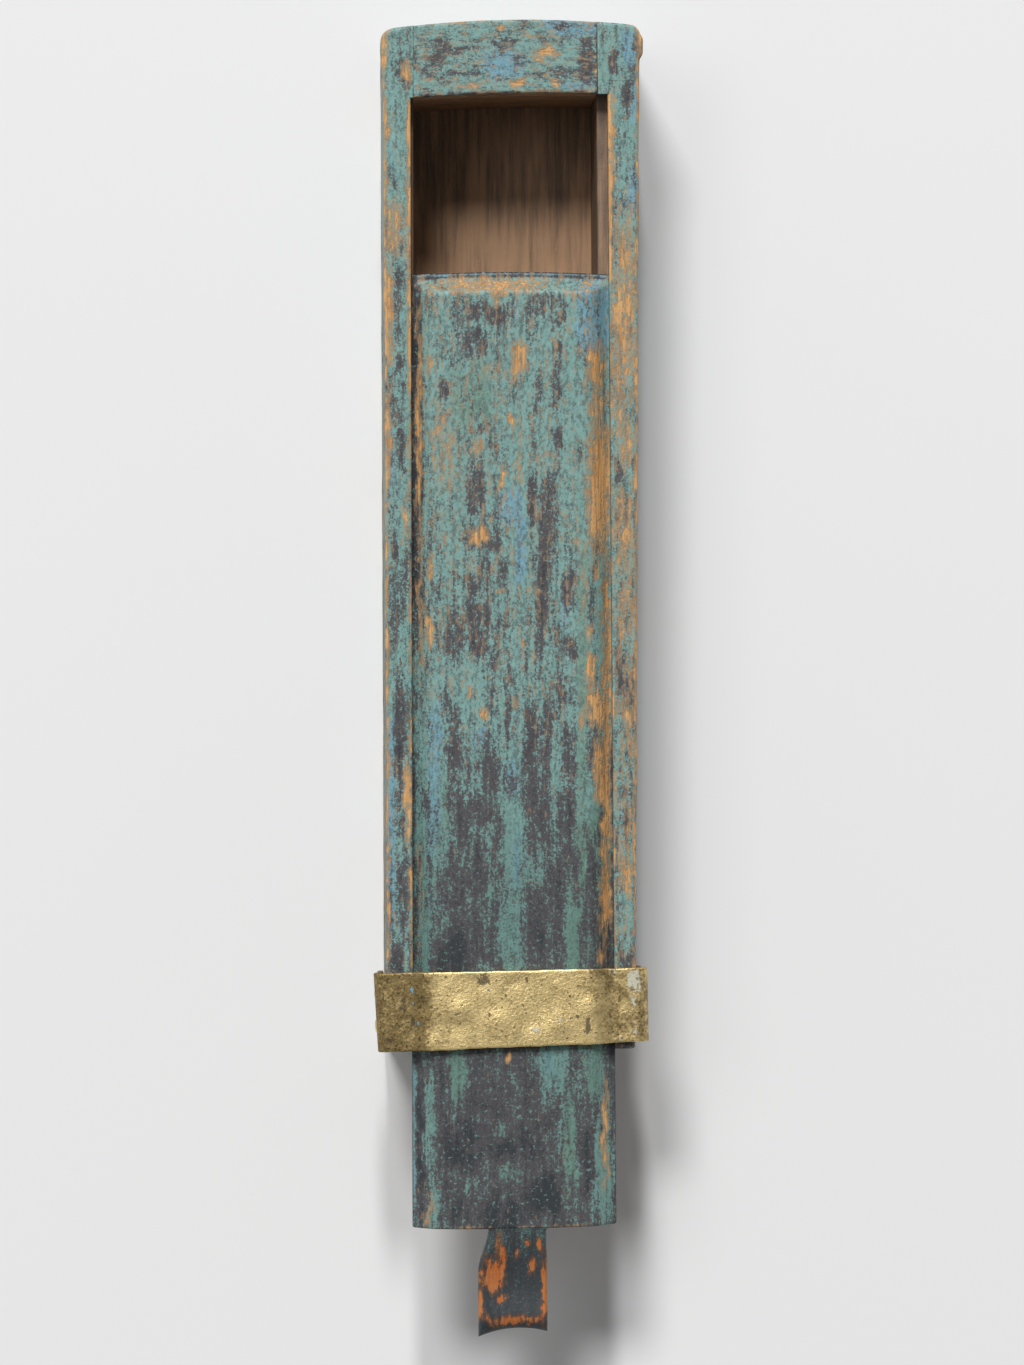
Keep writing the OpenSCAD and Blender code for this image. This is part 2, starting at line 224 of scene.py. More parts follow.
def ragged(along, seed):
    """Wandering value between about -1 and 1: a sum of sines whose lengths don't share a beat."""
    lengths = np.array([3.1, 5.3, 8.9, 14.7, 31.0])
    heights = np.array([0.16, 0.2, 0.26, 0.3, 0.3])
    starts = seed * np.array([0.37, 0.61, 0.13, 0.83, 0.29])
    return (heights * np.sin(2 * np.pi * (along[..., None] / lengths + starts))).sum(-1)


def end_inset(distance, radius):
    """Inset at a distance from a piece's end that rounds the end to a quarter circle."""
    short = np.clip(radius - distance, 0, radius)
    return radius - np.sqrt(radius**2 - short**2)


def end_steps(radius):
    """Distances from an end at which a quarter circle of that radius is cut."""
    return radius * (1 - np.cos(np.linspace(0, np.pi / 2, 6)))


def share(y):
    """Part of the way from the foot end to the head end."""
    return (y - FOOT_Y) / (HEAD_Y - FOOT_Y)


def outer_half(y):
    """Half of the width over the side boards, which taper evenly."""
    return (FOOT_WIDTH + (HEAD_WIDTH - FOOT_WIDTH) * share(y)) / 2


def inner_half(y):
    """Half of the width between the lips of the side boards."""
    return outer_half(y) - FOOT_LIP - (HEAD_LIP - FOOT_LIP) * share(y)


def crown(x):
    """Y of the bowed head end: an arc about a point on the shifted centre line."""
    return HEAD_Y - CROWN_RADIUS + np.sqrt(CROWN_RADIUS**2 - (x - CROWN_SHIFT) ** 2)


def channel(y):
    """X of the middle of the lid's channel, which is turned a little against the box."""
    return -GROOVE_SLOPE * y


def bow(x, extra=0.0):
    """Y of an end bowed like the face of the head block, drawn square, moved headwards by extra."""
    return BOW_CENTRE + np.sqrt((BOW_RADIUS + extra) ** 2 - x**2)


# How far the edges of worn patches wander across the grain
PATCH_WANDER = 0.5


def spots(x, y, places, wander=PATCH_WANDER):
    """Greatest of a set of soft patches at each point. A place is (left, right, foot, head,
    strength), and a patch falls as exp(-0.7 (u^3 + v^3)) with u and v the distances from its middle
    in half widths and half lengths, to half of its strength at its edges. The edges wander by so
    many millimetres across the grain and by twice as many along it."""
    left, right, foot, head, strength = np.array(places, float).T
    x, y = x + wander * ragged(y * 1.7, 3), y + 2 * wander * ragged(x * 2.1, 8)
    u = np.abs(2 * x[..., None] - left - right) / (right - left)
    v = np.abs(2 * y[..., None] - foot - head) / (head - foot)
    return (strength * np.exp(-0.7 * (u**3 + v**3))).max(-1)


def columns(along, *values):
    """Values, each a number or one for each station along a piece, as the columns of an array."""
    return np.stack([np.broadcast_to(value, along.shape) for value in values], 1)


def sections(along, *corners):
    """Corner points (stations x corners x 2) from pairs of values such as columns takes."""
    return np.stack([columns(along, *corner) for corner in corners], 1)


def rows(*values):
    """Values along a piece, each as rows of one, to be met with the points of its rings."""
    return (value[:, None] for value in values)


def turned(x, y, angle):
    """X and Y of points turned about the origin."""
    return x * np.cos(angle) - y * np.sin(angle), x * np.sin(angle) + y * np.cos(angle)


# Parts into which each rounded corner is cut
BEND = 4
# Faces that meet at more than this angle keep a sharp edge
SHARP_ANGLE = np.radians(38)


def rounded_rings(corners, radii, steps):
    """Closed rings of points from stations x corners x 2 corner points. Each corner becomes a
    parabola from one radius before it to one radius after it, and the straight that follows
    corner c is cut into steps[c] parts. Gives the points' two coordinates (stations x points) and
    the straight of each point of a ring, or -1 on a bend."""
    radii = np.broadcast_to(radii, corners.shape[:2])[..., None]
    ahead = np.roll(corners, -1, 1) - corners
    ahead = ahead / np.linalg.norm(ahead, axis=2, keepdims=True)
    start = corners - radii * np.roll(ahead, 1, 1)
    end = corners + radii * ahead
    t = np.linspace(0, 1, BEND + 1)[:, None]
    bends = start[:, :, None] * (1 - t) ** 2 + corners[:, :, None] * 2 * t * (1 - t)
    bends = bends + end[:, :, None] * t**2
    parts, straight = [], []
    for c, count in enumerate(steps):
        u = np.linspace(0, 1, count + 1)[1:-1, None]
        after = start[:, (c + 1) % len(steps), None]
        parts += [bends[:, c], end[:, c, None] * (1 - u) + after * u]
        straight += [-1] * (BEND + 1) + [c] * (count - 1)
    rings = np.concatenate(parts, 1)
    return rings[..., 0], rings[..., 1], np.array(straight)


def end_strip(upper, lower, at_upper, at_lower):
    """Triangles between two rows of points that share both ends, made by stepping on to whichever
    next point comes first."""
    order = np.argsort(np.concatenate([at_upper[1:], at_lower[1:]]), kind="stable")
    on_upper = order < len(upper) - 1
    i, j = np.cumsum(on_upper), np.cumsum(~on_upper)
    third = np.where(on_upper, upper[i], lower[j])
    strip = np.stack([upper[i - on_upper], lower[j - ~on_upper], third], 1)
    return strip[(strip != np.roll(strip, 1, 1)).all(1)]


def lofted(name, points, values, split=None):
    """Object whose skin joins each ring of points (rings x points x 3) to the next, with a face
    over each end. Given a split (two places in a ring), an end that isn't flat is closed by a strip
    between the upper and the lower row of its points. Values are named point attributes on the same
    grid. If the skin's signed volume is below zero, its faces are turned round."""
    rings, around = points.shape[:2]
    index = np.arange(rings * around).reshape(rings, around)
    turned = np.roll(index, -1, 1)
    quads = np.stack([index[:-1], turned[:-1], turned[1:], index[1:]], -1).reshape(-1, 4)
    flat = points.reshape(-1, 3) * MM
    a, b, c, d = (flat[quads[:, i]] - flat.mean(0) for i in range(4))
    volume = (a * np.cross(b, c) + a * np.cross(c, d)).sum()
    faces = quads.tolist()
    if split is None:
        faces += [index[0, ::-1].tolist(), index[-1].tolist()]
    else:
        first, last = split
        rows = np.arange(first, last + 1), np.arange(first, last - around - 1, -1) % around
        for ring, step in ((0, -1), (rings - 1, 1)):
            across = [-points[ring, row, 0] for row in rows]
            strip = end_strip(index[ring, rows[0]], index[ring, rows[1]], *across)
            faces += strip[:, ::-step].tolist()
    if volume < 0:
        faces = [face[::-1] for face in faces]
    mesh = bpy.data.meshes.new(name)
    mesh.from_pydata(flat.tolist(), [], faces)
    for key, value in values.items():
        layer = mesh.attributes.new(key, "FLOAT", "POINT")
        whole = np.broadcast_to(value, (rings, around)).ravel().astype(np.float32)
        layer.data.foreach_set("value", whole)
    mesh.shade_smooth()
    mesh.set_sharp_from_angle(angle=SHARP_ANGLE)
    piece = bpy.data.objects.new(name, mesh)
    bpy.context.scene.collection.objects.link(piece)
    return piece


def dress(piece, material, body, node):
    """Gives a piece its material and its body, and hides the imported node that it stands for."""
    piece.data.materials.append(material)
    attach(piece, body)
    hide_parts(node)


# Places of wear, as (left, right, foot, head, strength): wood worn bare, dark undercoat, paint that has
# kept, paint of another hue, and the stains, paint spots and teal flecks on the strap. One dark place
# on the right board is partly painted shade.

LID_BARE = [
    (-18, 8.4, 47.8, 51.8, 0.56), (8, 19, 47.6, 49.4, 0.34), (13.6, 17, 49.4, 50.6, 0.5),
    (-0.4, 3.4, 31, 38.9, 0.6), (14.9, 18.8, 29.6, 38.5, 0.66), (15.4, 19.6, 22, 30, 0.58),
    (15.2, 20.2, -4, 24, 0.7), (-19, -17.9, 0.8, 43.5, 0.68), (-17.1, -15.9, 32, 37, 0.6),
    (-16.6, -13.7, 19.6, 22.3, 0.55), (-17, -10, 5.7, 28, 0.34), (-7, -1, 30, 35, 0.36),
    (-8.7, -5.7, 15.3, 19.3, 0.45), (-2.8, -1.3, 9.3, 14, 0.6), (-1, 0.7, 22, 24.4, 0.6),
    (0.8, 2.3, 9.3, 21, 0.44), (4.9, 9.2, 14.6, 16, 0.42), (7.9, 9, 37, 39, 0.52),
    (-8.5, -4.6, -2.9, 1.4, 0.62), (-3.2, -0.6, -11.5, -10.3, 0.58), (-7.4, -6.5, -8.6, -6.3, 0.56),
    (1.4, 3.6, -23.6, -20.8, 0.5), (-9, -7.5, -33.2, -30, 0.54), (0.1, 1.3, -35.3, -32, 0.54),
    (-6.3, -4.4, -38, -35, 0.45), (-17.2, -15.6, -22, -15.6, 0.74), (-17, -15.8, -8.8, -2.5, 0.62),
    (-18.7, -17.8, -30, 2.8, 0.52), (18, 20.2, -88, 2.8, 0.58), (15.1, 17.5, -1.8, 2.8, 0.62),
    (16.4, 17.6, -9.4, -5.7, 0.6), (15, 16.2, -21.6, -17.8, 0.58), (14.7, 17.2, -30, -23.6, 0.64),
    (15, 18.6, -39, -30.4, 0.7), (13.2, 14.8, -38.7, -33.9, 0.64), (16.4, 18.3, -53.2, -39.3, 0.64),
    (16.5, 20, -54, -49, 0.64), (17.7, 19, -60, -55.7, 0.72), (17.5, 20.2, -79, -69, 0.76),
    (17.2, 18.7, -86, -82.6, 0.64), (-18.8, -17.5, -86, -60, 0.3), (18, 19.5, -129.7, -109.5, 0.58),
    (-17, -15.5, -136, -130, 0.36), (-0.9, 0.3, -106, -104, 0.68), (-17.8, -15.8, -138.8, -134, 0.38),
]
LID_DARK = [
    (-16, -4, 30, 50, 0.42), (1, 14, 36, 49, 0.4), (-13, -2, -32, 4, 0.53), (3, 10, -26, 15, 0.52),
    (-15, 1, -56, -34, 0.48), (3, 15, -60, -30, 0.46), (-10.7, 0.9, 41.9, 46.8, 0.66),
    (-9.4, -4, 34.6, 41.9, 0.7), (2.6, 13.2, 42.8, 48.5, 0.64), (8.6, 11.2, 41.2, 45.2, 0.72),
    (-14.8, -12.2, 26.5, 31, 0.7), (7.8, 10, 23, 40.5, 0.72), (4.5, 6, 24, 35, 0.64),
    (7.8, 10.3, 16, 21.8, 0.68), (-7.1, -4.9, 19.2, 21.7, 0.64), (13.1, 14.3, 11, 21.4, 0.62),
    (-9, -5, 0.8, 14.7, 0.74), (3.1, 5.3, 0.8, 13, 0.78), (5.9, 9.2, 0.8, 13.7, 0.68),
    (-11, -0.7, -4, 2, 0.7), (-2.9, -0.7, -9, -3.6, 0.68), (4, 8.6, -22, 2.8, 0.7),
    (9.7, 12.9, -17, -6, 0.8), (10.4, 13.6, -25.8, -18.6, 0.7), (-15, -0.7, -29, -12, 0.64),
    (-8.5, -3, -21, -13, 0.7), (9.3, 13.6, -53, -35.8, 0.66), (2.2, 5, -47, -33, 0.72),
    (-14.3, -8.9, -50, -36.8, 0.66), (-7.1, -0.7, -53, -39.7, 0.68), (10, 12.5, -34, -26, 0.6),
    (-18.4, -16, -57.7, -49, 0.8), (-12.8, -1.9, -60.7, -51, 0.67), (-8.7, -4.3, -74, -61, 0.74),
    (8.3, 13.2, -62, -49, 0.8), (3, 4.5, -61.5, -53, 0.68), (7.7, 11.5, -74, -62, 0.64),
    (14.5, 17.3, -76.8, -59, 0.72), (-16.6, -2.1, -90, -73.8, 0.66), (-16.6, -7, -94, -78.4, 0.95),
    (2, 10.7, -90, -74.6, 0.6), (-19.1, -17.4, -136, -100, 0.85), (-15.4, -12.7, -118, -100, 0.62),
    (-9.1, 7.5, -141, -100, 0.68), (-15.4, -3.5, -129, -115.8, 0.86), (0.4, 11.5, -138, -127, 0.92),
    (-8, 5, -142, -131, 0.82), (13.9, 17.4, -136, -115, 0.74), (-14, -4, -141, -129, 0.68),
]
LID_KEPT = [
    (-20.8, -16.8, -94, -34, 0.24), (12.9, 15, -58, 2, 0.28), (-16.4, -13.9, -68, -33, 0.34),
    (-14.3, -5.7, -33, -25.8, 0.28), (-0.7, 2.2, -51, -36.5, 0.3), (-16, -12.8, -68, -49, 0.28),
    (-2, 2.5, -72, -49, 0.34), (1.7, 6.6, -70.5, -63, 0.28), (13.2, 17.5, -59, -49, 0.36),
    (17.3, 19.7, -72, -60, 0.36), (-2.7, 2, -90, -73.5, 0.34), (11, 13.5, -90, -76, 0.4),
    (-17.9, -16.4, -92, -73.8, 0.42), (0.6, 3, -9.5, 20, 0.3), (-20.4, -19.1, -138, -103, 0.52),
    (-17.4, -15.4, -138, -103, 0.4), (-12.6, -9.1, -112.7, -101, 0.42), (-12, -10, -120.6, -112, 0.3),
    (-3.1, -0.4, -120.6, -117, 0.4), (-3.6, 1.3, -129.8, -125.2, 0.58), (-2.1, -1.1, -136, -129, 0.36),
    (5.2, 11.5, -112, -100, 0.42), (10.3, 13, -132.8, -108.7, 0.45), (13.9, 18.2, -114.6, -100, 0.42),
    (16.9, 20.4, -138.5, -114.6, 0.52), (-17.4, -14.2, -138.4, -129, 0.36),
]
# Fresher blue paint, and paint that has yellowed to green
LID_BLUE = [
    (0.6, 3, -10, 4, 1), (-7.4, -5.3, -42.6, -39.6, 1.5), (13, 20.4, 37, 51, 1),
    (-2.4, 2.9, 0.8, 10, 0.7), (0, 1.7, 42, 47, 0.6), (-17, -14, -68, -33, 0.6),
    (0, 2.2, -72, -56, 0.7), (-20.4, -19, -138, -103, 0.8), (-1, 1.6, -53, -44, 0.6),
    (5, 9, -111, -103, 0.45), (9, 12, -20, -5, 0.5),
]
LID_GREEN = [
    (13, 15.4, -58, 0, 0.5), (11, 20, -90, -58, 0.7), (-12.6, -9, -114, -103, 0.7),
    (10.3, 13, -133, -109, 0.8), (-14, -12, -60, -49, 0.6), (-12, -4, 22, 34, 0.4),
    (-4, 2, -131, -116, 0.5), (14, 18, -114, -101, 0.5),
]
PULL_BARE = [
    (-3.2, -1.1, -150, -139.8, 0.72), (-5.4, -2.2, -151.6, -144.5, 0.78),
    (-6.8, -5, -151.5, -147.6, 0.7), (-3.4, -0.8, -153.4, -151.6, 0.6), (5.9, 7.6, -158, -143, 0.72),
    (5.2, 6.4, -143.6, -140.2, 0.64), (3.2, 4.9, -148, -144.2, 0.66), (2.8, 4.4, -142.4, -141, 0.58),
    (0.4, 1.4, -144.4, -142.6, 0.54), (-6.6, 6.6, -158.2, -156, 0.62), (-7.1, -5.7, -158.4, -151, 0.68),
]
RAIL_BARE = {
    LEFT: [
        (-25.8, -21.3, 55.6, 67, 0.5), (-26, -23.4, 34, 54, 0.6), (-25.6, -24, 8, 34, 0.54),
        (-25.4, -24.2, 79, 82.5, 0.56), (-22, -20, 90, 94.5, 0.62), (-22, -20.4, -4, 8, 0.5),
        (-21.6, -20, -62, -44, 0.6),
    ],
    RIGHT: [
        (19.8, 25.6, 22, 66, 0.54), (20.2, 24.8, 12, 27, 0.46), (20.4, 25.2, -8, 9, 0.48),
        (20.6, 24.8, -24, -8, 0.44), (21.1, 25.2, -74, -61, 0.5), (22.3, 25, -47, -30, 0.44),
        (19.8, 26, -96, 40, 0.3), (19.4, 20.8, 68, 90, 0.55),
    ],
}
RAIL_DARK = {
    LEFT: [
        (-23.2, -21.4, 48.4, 53.6, 0.76), (-23.8, -21.4, 39.4, 41, 0.62),
        (-23.8, -21.8, 30.8, 36, 0.76), (-22.9, -20.8, 11, 21.4, 0.8), (-24.4, -22.4, -5.8, -0.7, 0.8),
        (-23.8, -21, -27, -8, 0.62), (-23.5, -21.2, -64, -24.5, 0.78), (-22.9, -21.2, -72, -66, 0.74),
        (-24.7, -21.5, -90, -82, 0.9), (-23.5, -20.4, 87, 98, 0.6),
    ],
    RIGHT: [
        (19.6, 21.6, 91, 97.4, 0.76), (21.6, 23.6, 84.8, 90, 0.72), (21.2, 23, 26, 28, 0.7),
        (20.4, 22.2, 8.8, 16, 0.7), (21.1, 23.8, -37, -21, 0.6), (21.2, 23.2, -48.6, -46.6, 0.8),
        (21.6, 23.2, -53.8, -50.2, 0.76), (21.8, 24.4, -59.6, -56, 0.8), (22.2, 24.8, -92, -83.4, 0.76),
        # The last place is dark paint with painted shade on the right board's foot end under the strap
        (24.4, 27, 95.2, 101, 0.95), (19, 25.6, -104, -99, 1),
    ],
}
RAIL_BLUE = {
    LEFT: [(-24.9, -23.3, -80, -36, 1), (-24.8, -22.6, 68, 86, 0.5), (-24.9, -23.6, 8, 30, 0.6)],
    RIGHT: [(23.4, 25.2, 63, 73, 0.9), (23.8, 25.4, 82, 90, 0.9), (22, 25.2, 94, 101, 0.8)],
}
HEAD_BARE = [
    (4, 10, 94.2, 97.4, 0.62), (-1.2, 2.8, 89.3, 91, 0.66), (7, 9.4, 89.4, 91, 0.62),
    (-3, -0.6, 100.8, 102.4, 0.55), (-12, -5, 88.8, 90, 0.55), (2, 4.6, 99, 100.6, 0.5),
    (16.6, 18.6, 88.4, 97, 0.44),
]
HEAD_DARK = [
    (-20, -4, 89, 101, 0.44), (4, 18, 89, 95, 0.42), (-25, -20, 88, 100, 0.4),
    (13.2, 17, 88.6, 100.4, 0.74), (7, 12.4, 100.4, 102.2, 0.66), (-18, -11, 91, 101, 0.62),
    (-20.6, -18.6, 92.8, 98, 0.66), (-5, 2, 96.8, 101, 0.56), (3, 12, 91.4, 93, 0.56),
]
HEAD_BLUE = [(6.5, 17.5, 100, 103, 1.1), (-5.5, 3, 91.5, 97.5, 0.75), (9, 16, 88.8, 91, 0.6)]
STRAP_STAIN = [
    (-27.5, -18.4, -105, -85, 0.3), (-18.4, 27, -104, -86, 0.12), (-7.2, -3.9, -90.4, -87.7, 0.66),
    (2.6, 3.5, -90, -88.4, 0.72), (-13.7, -12.7, -89.2, -87.9, 0.6), (-12.1, -9.8, -96.4, -95.5, 0.6),
    (-5, -4, -96.6, -95.5, 0.72), (12.6, 13.5, -97, -96, 0.75), (14.6, 15.9, -100.2, -96.6, 0.74),
    (13.7, 15.2, -89.3, -88.3, 0.6), (21.4, 22, -93.8, -92.3, 0.72), (-22.4, -20.9, -95.8, -92.3, 0.52),
    (-20.2, -19.3, -98.4, -96.6, 0.74), (-25.6, -23.2, -102.4, -100, 0.5),
    (-13.3, -12.3, -102, -101, 0.6),
]
STRAP_SPLASH = [
    (22.7, 26.2, -92.2, -86.5, 0.66), (23.6, 25.3, -95, -91.5, 0.56), (19, 19.9, -88.9, -87.3, 0.62),
    (20.2, 21, -88.3, -86.8, 0.6), (9, 10.2, -97.7, -96.3, 0.66), (3.9, 5.9, -99.9, -98.2, 0.62),
    (11.3, 12.1, -96.5, -95.5, 0.5), (24, 25.3, -101, -97.4, 0.58), (21.2, 22.7, -101.4, -100.4, 0.58),
]
STRAP_FLECK = [
    (-20.5, -19.4, -92.3, -90, 0.64), (-20.1, -19.4, -95.8, -92.5, 0.52),
    (-19, -18.2, -98.6, -97, 0.64), (-19.9, -19.2, -99.7, -99, 0.6), (-5.1, -4.3, -91.4, -90.5, 0.7),
]


# Boards and blocks


CRACK_Y = {LEFT: 94.2, RIGHT: 90.7}
CRACK_WIDTH, CRACK_DEPTH = 0.16, 0.02
CRACK_STATIONS = np.array([-0.4, -0.18, 0, 0.18, 0.4])
# Rounding of the blocks' ends, and hairlines that keep pieces apart
SEAM_EDGE, BLOCK_EDGE = 0.1, 0.25
SEAM_GAP, BLOCK_GAP, STANDING_GAP = 0.03, 0.05, 0.04
FLOOR_HOLLOW, FLOOR_RIM, FLOOR_WELL = 0.22, 0.9, 1.2
# Place along Y, half length and steepness of the lump on each head corner
PROUD = {LEFT: (98.0, 6.0, 2), RIGHT: (98.5, 2.5, 6)}
PROUD_HEIGHT = 0.65
# Least wear of each side board's top, and the stretch of Y over which the wear of its lip grows
RAIL_WASH = {LEFT: 0.1, RIGHT: 0.13}
LIP_WORN = {LEFT: (22, 30), RIGHT: (45, 52)}


def side_board(side, name, sizes):
    """A closed section of eight corners (outer face, top, lip, groove, ledge and inner face)
    carried along Y. Up to the bowed face of the head block it is rebated and grooved, for the
    depth of the cross groove it keeps only the groove, and from there it is solid. Towards the
    head end its points move back along Y until they lie on the crown's arc."""
    edge, lip_edge, end = (v / MM for v in (sizes.outer_edge, sizes.lip_edge, sizes.end_edge))
    sway = sizes.board_sway / MM
    ledge_x = side * (inner_half(HEAD_Y) - LEDGE[side])
    face_y = bow(ledge_x) + FACE_SLOPE * ledge_x
    pocket_y = bow(ledge_x) + GROOVE_SLOPE * ledge_x + HEAD_GROOVE
    rebated = np.concatenate([
        FOOT_Y + end_steps(end), np.arange(FOOT_Y + end + 0.4, face_y - 0.3, 0.6), [face_y],
    ])
    solid = np.arange(pocket_y + 0.4, HEAD_Y - HEAD_CORNER - 0.2, 0.4)
    solid = np.union1d(solid, CRACK_Y[side] + CRACK_STATIONS)
    solid = np.concatenate([[pocket_y], solid, HEAD_Y - end_steps(HEAD_CORNER)[::-1]])
    y = np.concatenate([rebated, [face_y, pocket_y], solid])
    zone = np.repeat([0, 1, 2], [len(rebated), 2, len(solid)])

    ends = end_inset(y - FOOT_Y, end) + end_inset(HEAD_Y - y, end)
    split = bell(y - CRACK_Y[side], CRACK_WIDTH)
    outer = outer_half(y) + sway * (ragged(y * 0.4, 2 + side) - 1)
    outer = outer - end_inset(y - FOOT_Y, end) - end_inset(HEAD_Y - y, HEAD_CORNER)
    inner = inner_half(y) + side * channel(y)
    ledge = inner - LEDGE[side]
    planed = sway * (1 + ragged(y * 0.5, 7 + side)) * smooth(-84, -70, y)
    top = BODY_TOP - ends - CRACK_DEPTH * split - planed
    low = FLOOR_TOP + STANDING_GAP + 0.3 * ends
    lip = np.where(zone == 0, inner, ledge)
    back = np.where(zone == 2, ledge, inner + GROOVE_DEPTH)
    apart = np.where(zone == 2, 0.3, 0)
    corners = sections(
        y, (outer, low), (outer, top), (lip, top), (lip, GROOVE_TOP + apart), (back, GROOVE_TOP),
        (back, GROOVE_FLOOR), (ledge, GROOVE_FLOOR - apart), (ledge, low),
    )
    worn = edge * (1 + 0.45 * ragged(y, 4 + side))
    worn_lip = lip_edge * (1 + 0.4 * ragged(y, 9 + side))
    radii = columns(y, 0.4, worn, worn_lip, 0.2, 0.08, 0.08, 0.2, 0.1)
    radii[zone == 2, 2:7] = 0.1
    out, z, _ = rounded_rings(corners, radii, [26, 12, 4, 2, 3, 3, 16, 4])
    y, zone, split, outer, top, low, lip, inner = rows(y, zone, split, outer, top, low, lip, inner)
    at, reach, power = PROUD[side]
    lump = np.exp(-np.abs((y - at) / reach) ** power) * smooth(31, 35.5, z) * smooth(23.6, 25.2, out)
    out = out + PROUD_HEIGHT * lump
    x = side * out
    set_back = smooth(pocket_y + 0.1, HEAD_Y, y) * (crown(x) - HEAD_Y)
    points = np.stack([x, y + set_back, z], 2)

    flat = points[..., 0], points[..., 1]
    depth = top - z
    on_top = smooth(1.6, 0.4, depth)
    outer_line = (0.66 + 0.25 * ragged(y, 21 + side)) * bell(np.hypot(outer - out, depth), 0.75)
    # No worn line at the foot end, which is painted dark as shade under the strap
    outer_line = outer_line * smooth(-101, -98, y)
    lip_wear = 0.4 + 0.4 * smooth(*LIP_WORN[side], y) + 0.35 * ragged(y, 31 + side)
    lip_line = lip_wear * bell(np.hypot(out - lip, depth), 0.8) * (zone == 0)
    low_line = (0.6 + 0.3 * ragged(y, 41 + side)) * bell(np.hypot(outer - out, z - low), 0.9)
    bare = np.maximum(outer_line, np.maximum(lip_line, low_line))
    rubbed = np.maximum(RAIL_WASH[side], spots(*flat, RAIL_BARE[side]))
    bare = np.maximum(bare, rubbed * on_top)
    dark = 0.31 + 0.06 * smooth(75, 45, y) + 0.07 * smooth(40, -20, y) + 0.06 * ragged(y, 51 + side)
    dark = np.maximum(dark, spots(*flat, RAIL_DARK[side]) * on_top)
    dark = np.maximum(dark, (0.42 + 0.2 * ragged(out, 61)) * split * on_top)
    outside = smooth(0.8, 3, depth) * (out > outer - 1)
    dark = dark + outside * (0.1 + 0.16 * ragged(y * 0.45 + 0.6 * z, 71 + side))
    bare = np.maximum(bare, outside * (0.2 + 0.22 * ragged(y * 0.35 - 0.5 * z, 81 + side)))
    # Painted shade on the lips and inner faces, deepening below the top
    dark = dark + 0.6 * smooth(0.5, 2.4, depth) * (out < outer - 3) * (zone < 2)
    blue = spots(*flat, RAIL_BLUE[side]) * on_top
    raw = (depth > 2.3) * (out < inner + GROOVE_DEPTH + 0.05) * (zone < 2) * (y > FOOT_Y + end)
    return lofted(name, points, {"bare": bare, "dark": dark, "blue": blue, "raw": raw})


def between_sides(y, gap, edge, count):
    """Stations in X from one side board to the other at a place along Y, closer together where
    the ends are rounded, with their insets and the place of each end."""
    half, shift = inner_half(y) - gap, channel(y)
    left, right = shift - half + LEDGE[LEFT], shift + half - LEDGE[RIGHT]
    tip = end_steps(edge)
    even = np.linspace(left + 2 * edge, right - 2 * edge, count)
    x = np.concatenate([left + tip, even, right - tip[::-1]])
    return x, end_inset(x - left, edge) + end_inset(right - x, edge), left, right


def head_block(name, sizes):
    """A closed section of eight corners in Y and Z, with the cross groove for the lid's tongue,
    carried along X between the two side boards. At each X the section runs from the bowed inner
    face to the crown's arc."""
    x, ends, left, right = between_sides(HEAD_Y, SEAM_GAP, SEAM_EDGE, 80)
    face, pocket = bow(x) + FACE_SLOPE * x, bow(x) + GROOVE_SLOPE * x + HEAD_GROOVE
    back = crown(x) - 0.05 * (1 + ragged(x, 3))
    top = BODY_TOP - ends - 0.06 * (1 + ragged(x * 0.5, 6))
    corners = sections(
        x, (face, FLOOR_TOP), (face, GROOVE_FLOOR), (pocket, GROOVE_FLOOR), (pocket, GROOVE_TOP),
        (face, GROOVE_TOP), (face, top), (back, top), (back, FLOOR_TOP),
    )
    face_edge = 0.4 + 0.15 * ragged(x * 2, 8)
    back_edge = 0.75 * (sizes.outer_edge / MM) * (1 + 0.4 * ragged(x, 5))
    radii = columns(x, 0.1, 0.2, 0.1, 0.1, 0.2, face_edge, back_edge, 0.4)
    y, z, _ = rounded_rings(corners, radii, [16, 3, 3, 3, 3, 34, 26, 8])
    across = np.broadcast_to(x[:, None], y.shape)
    points = np.stack([across, y, z], 2)

    x, face, pocket, back, top = rows(x, face, pocket, back, top)
    depth = top - z
    on_top = smooth(1.4, 0.3, depth)
    crown_line = (0.36 + 0.3 * ragged(x, 12)) * bell(np.hypot(back - y, depth), 0.6)
    face_line = (0.4 + 0.4 * ragged(x, 14)) * bell(np.hypot(y - face, depth), 0.5)
    rubbed = np.maximum(0.18, spots(across, y, HEAD_BARE)) * on_top
    bare = np.maximum(np.maximum(crown_line, face_line), rubbed)
    end_face = smooth(0.8, 3, depth) * (y > pocket + 2)
    dark = np.maximum(0.29, spots(across, y, HEAD_DARK) * on_top)
    dark = dark + end_face * (0.1 + 0.16 * ragged(x * 0.6 + 0.5 * z, 73))
    bare = np.maximum(bare, end_face * (0.2 + 0.22 * ragged(x * 0.5 - 0.6 * z, 83)))
    seam = (0.5 * bell(x - left, 0.3) + 0.75 * bell(right - x, 0.6)) * (1 + 0.3 * ragged(y, 19))
    fringe = (0.75 + 0.4 * ragged(x * 2, 16)) * bell(y - face, 0.7)
    dark = np.maximum(dark, np.maximum(seam, fringe) * on_top)
    blue = spots(across, y, HEAD_BLUE) * on_top
    raw = (y < pocket + 0.05) * (depth > 0.9)
    return lofted(name, points, {"bare": bare, "dark": dark, "blue": blue, "raw": raw})


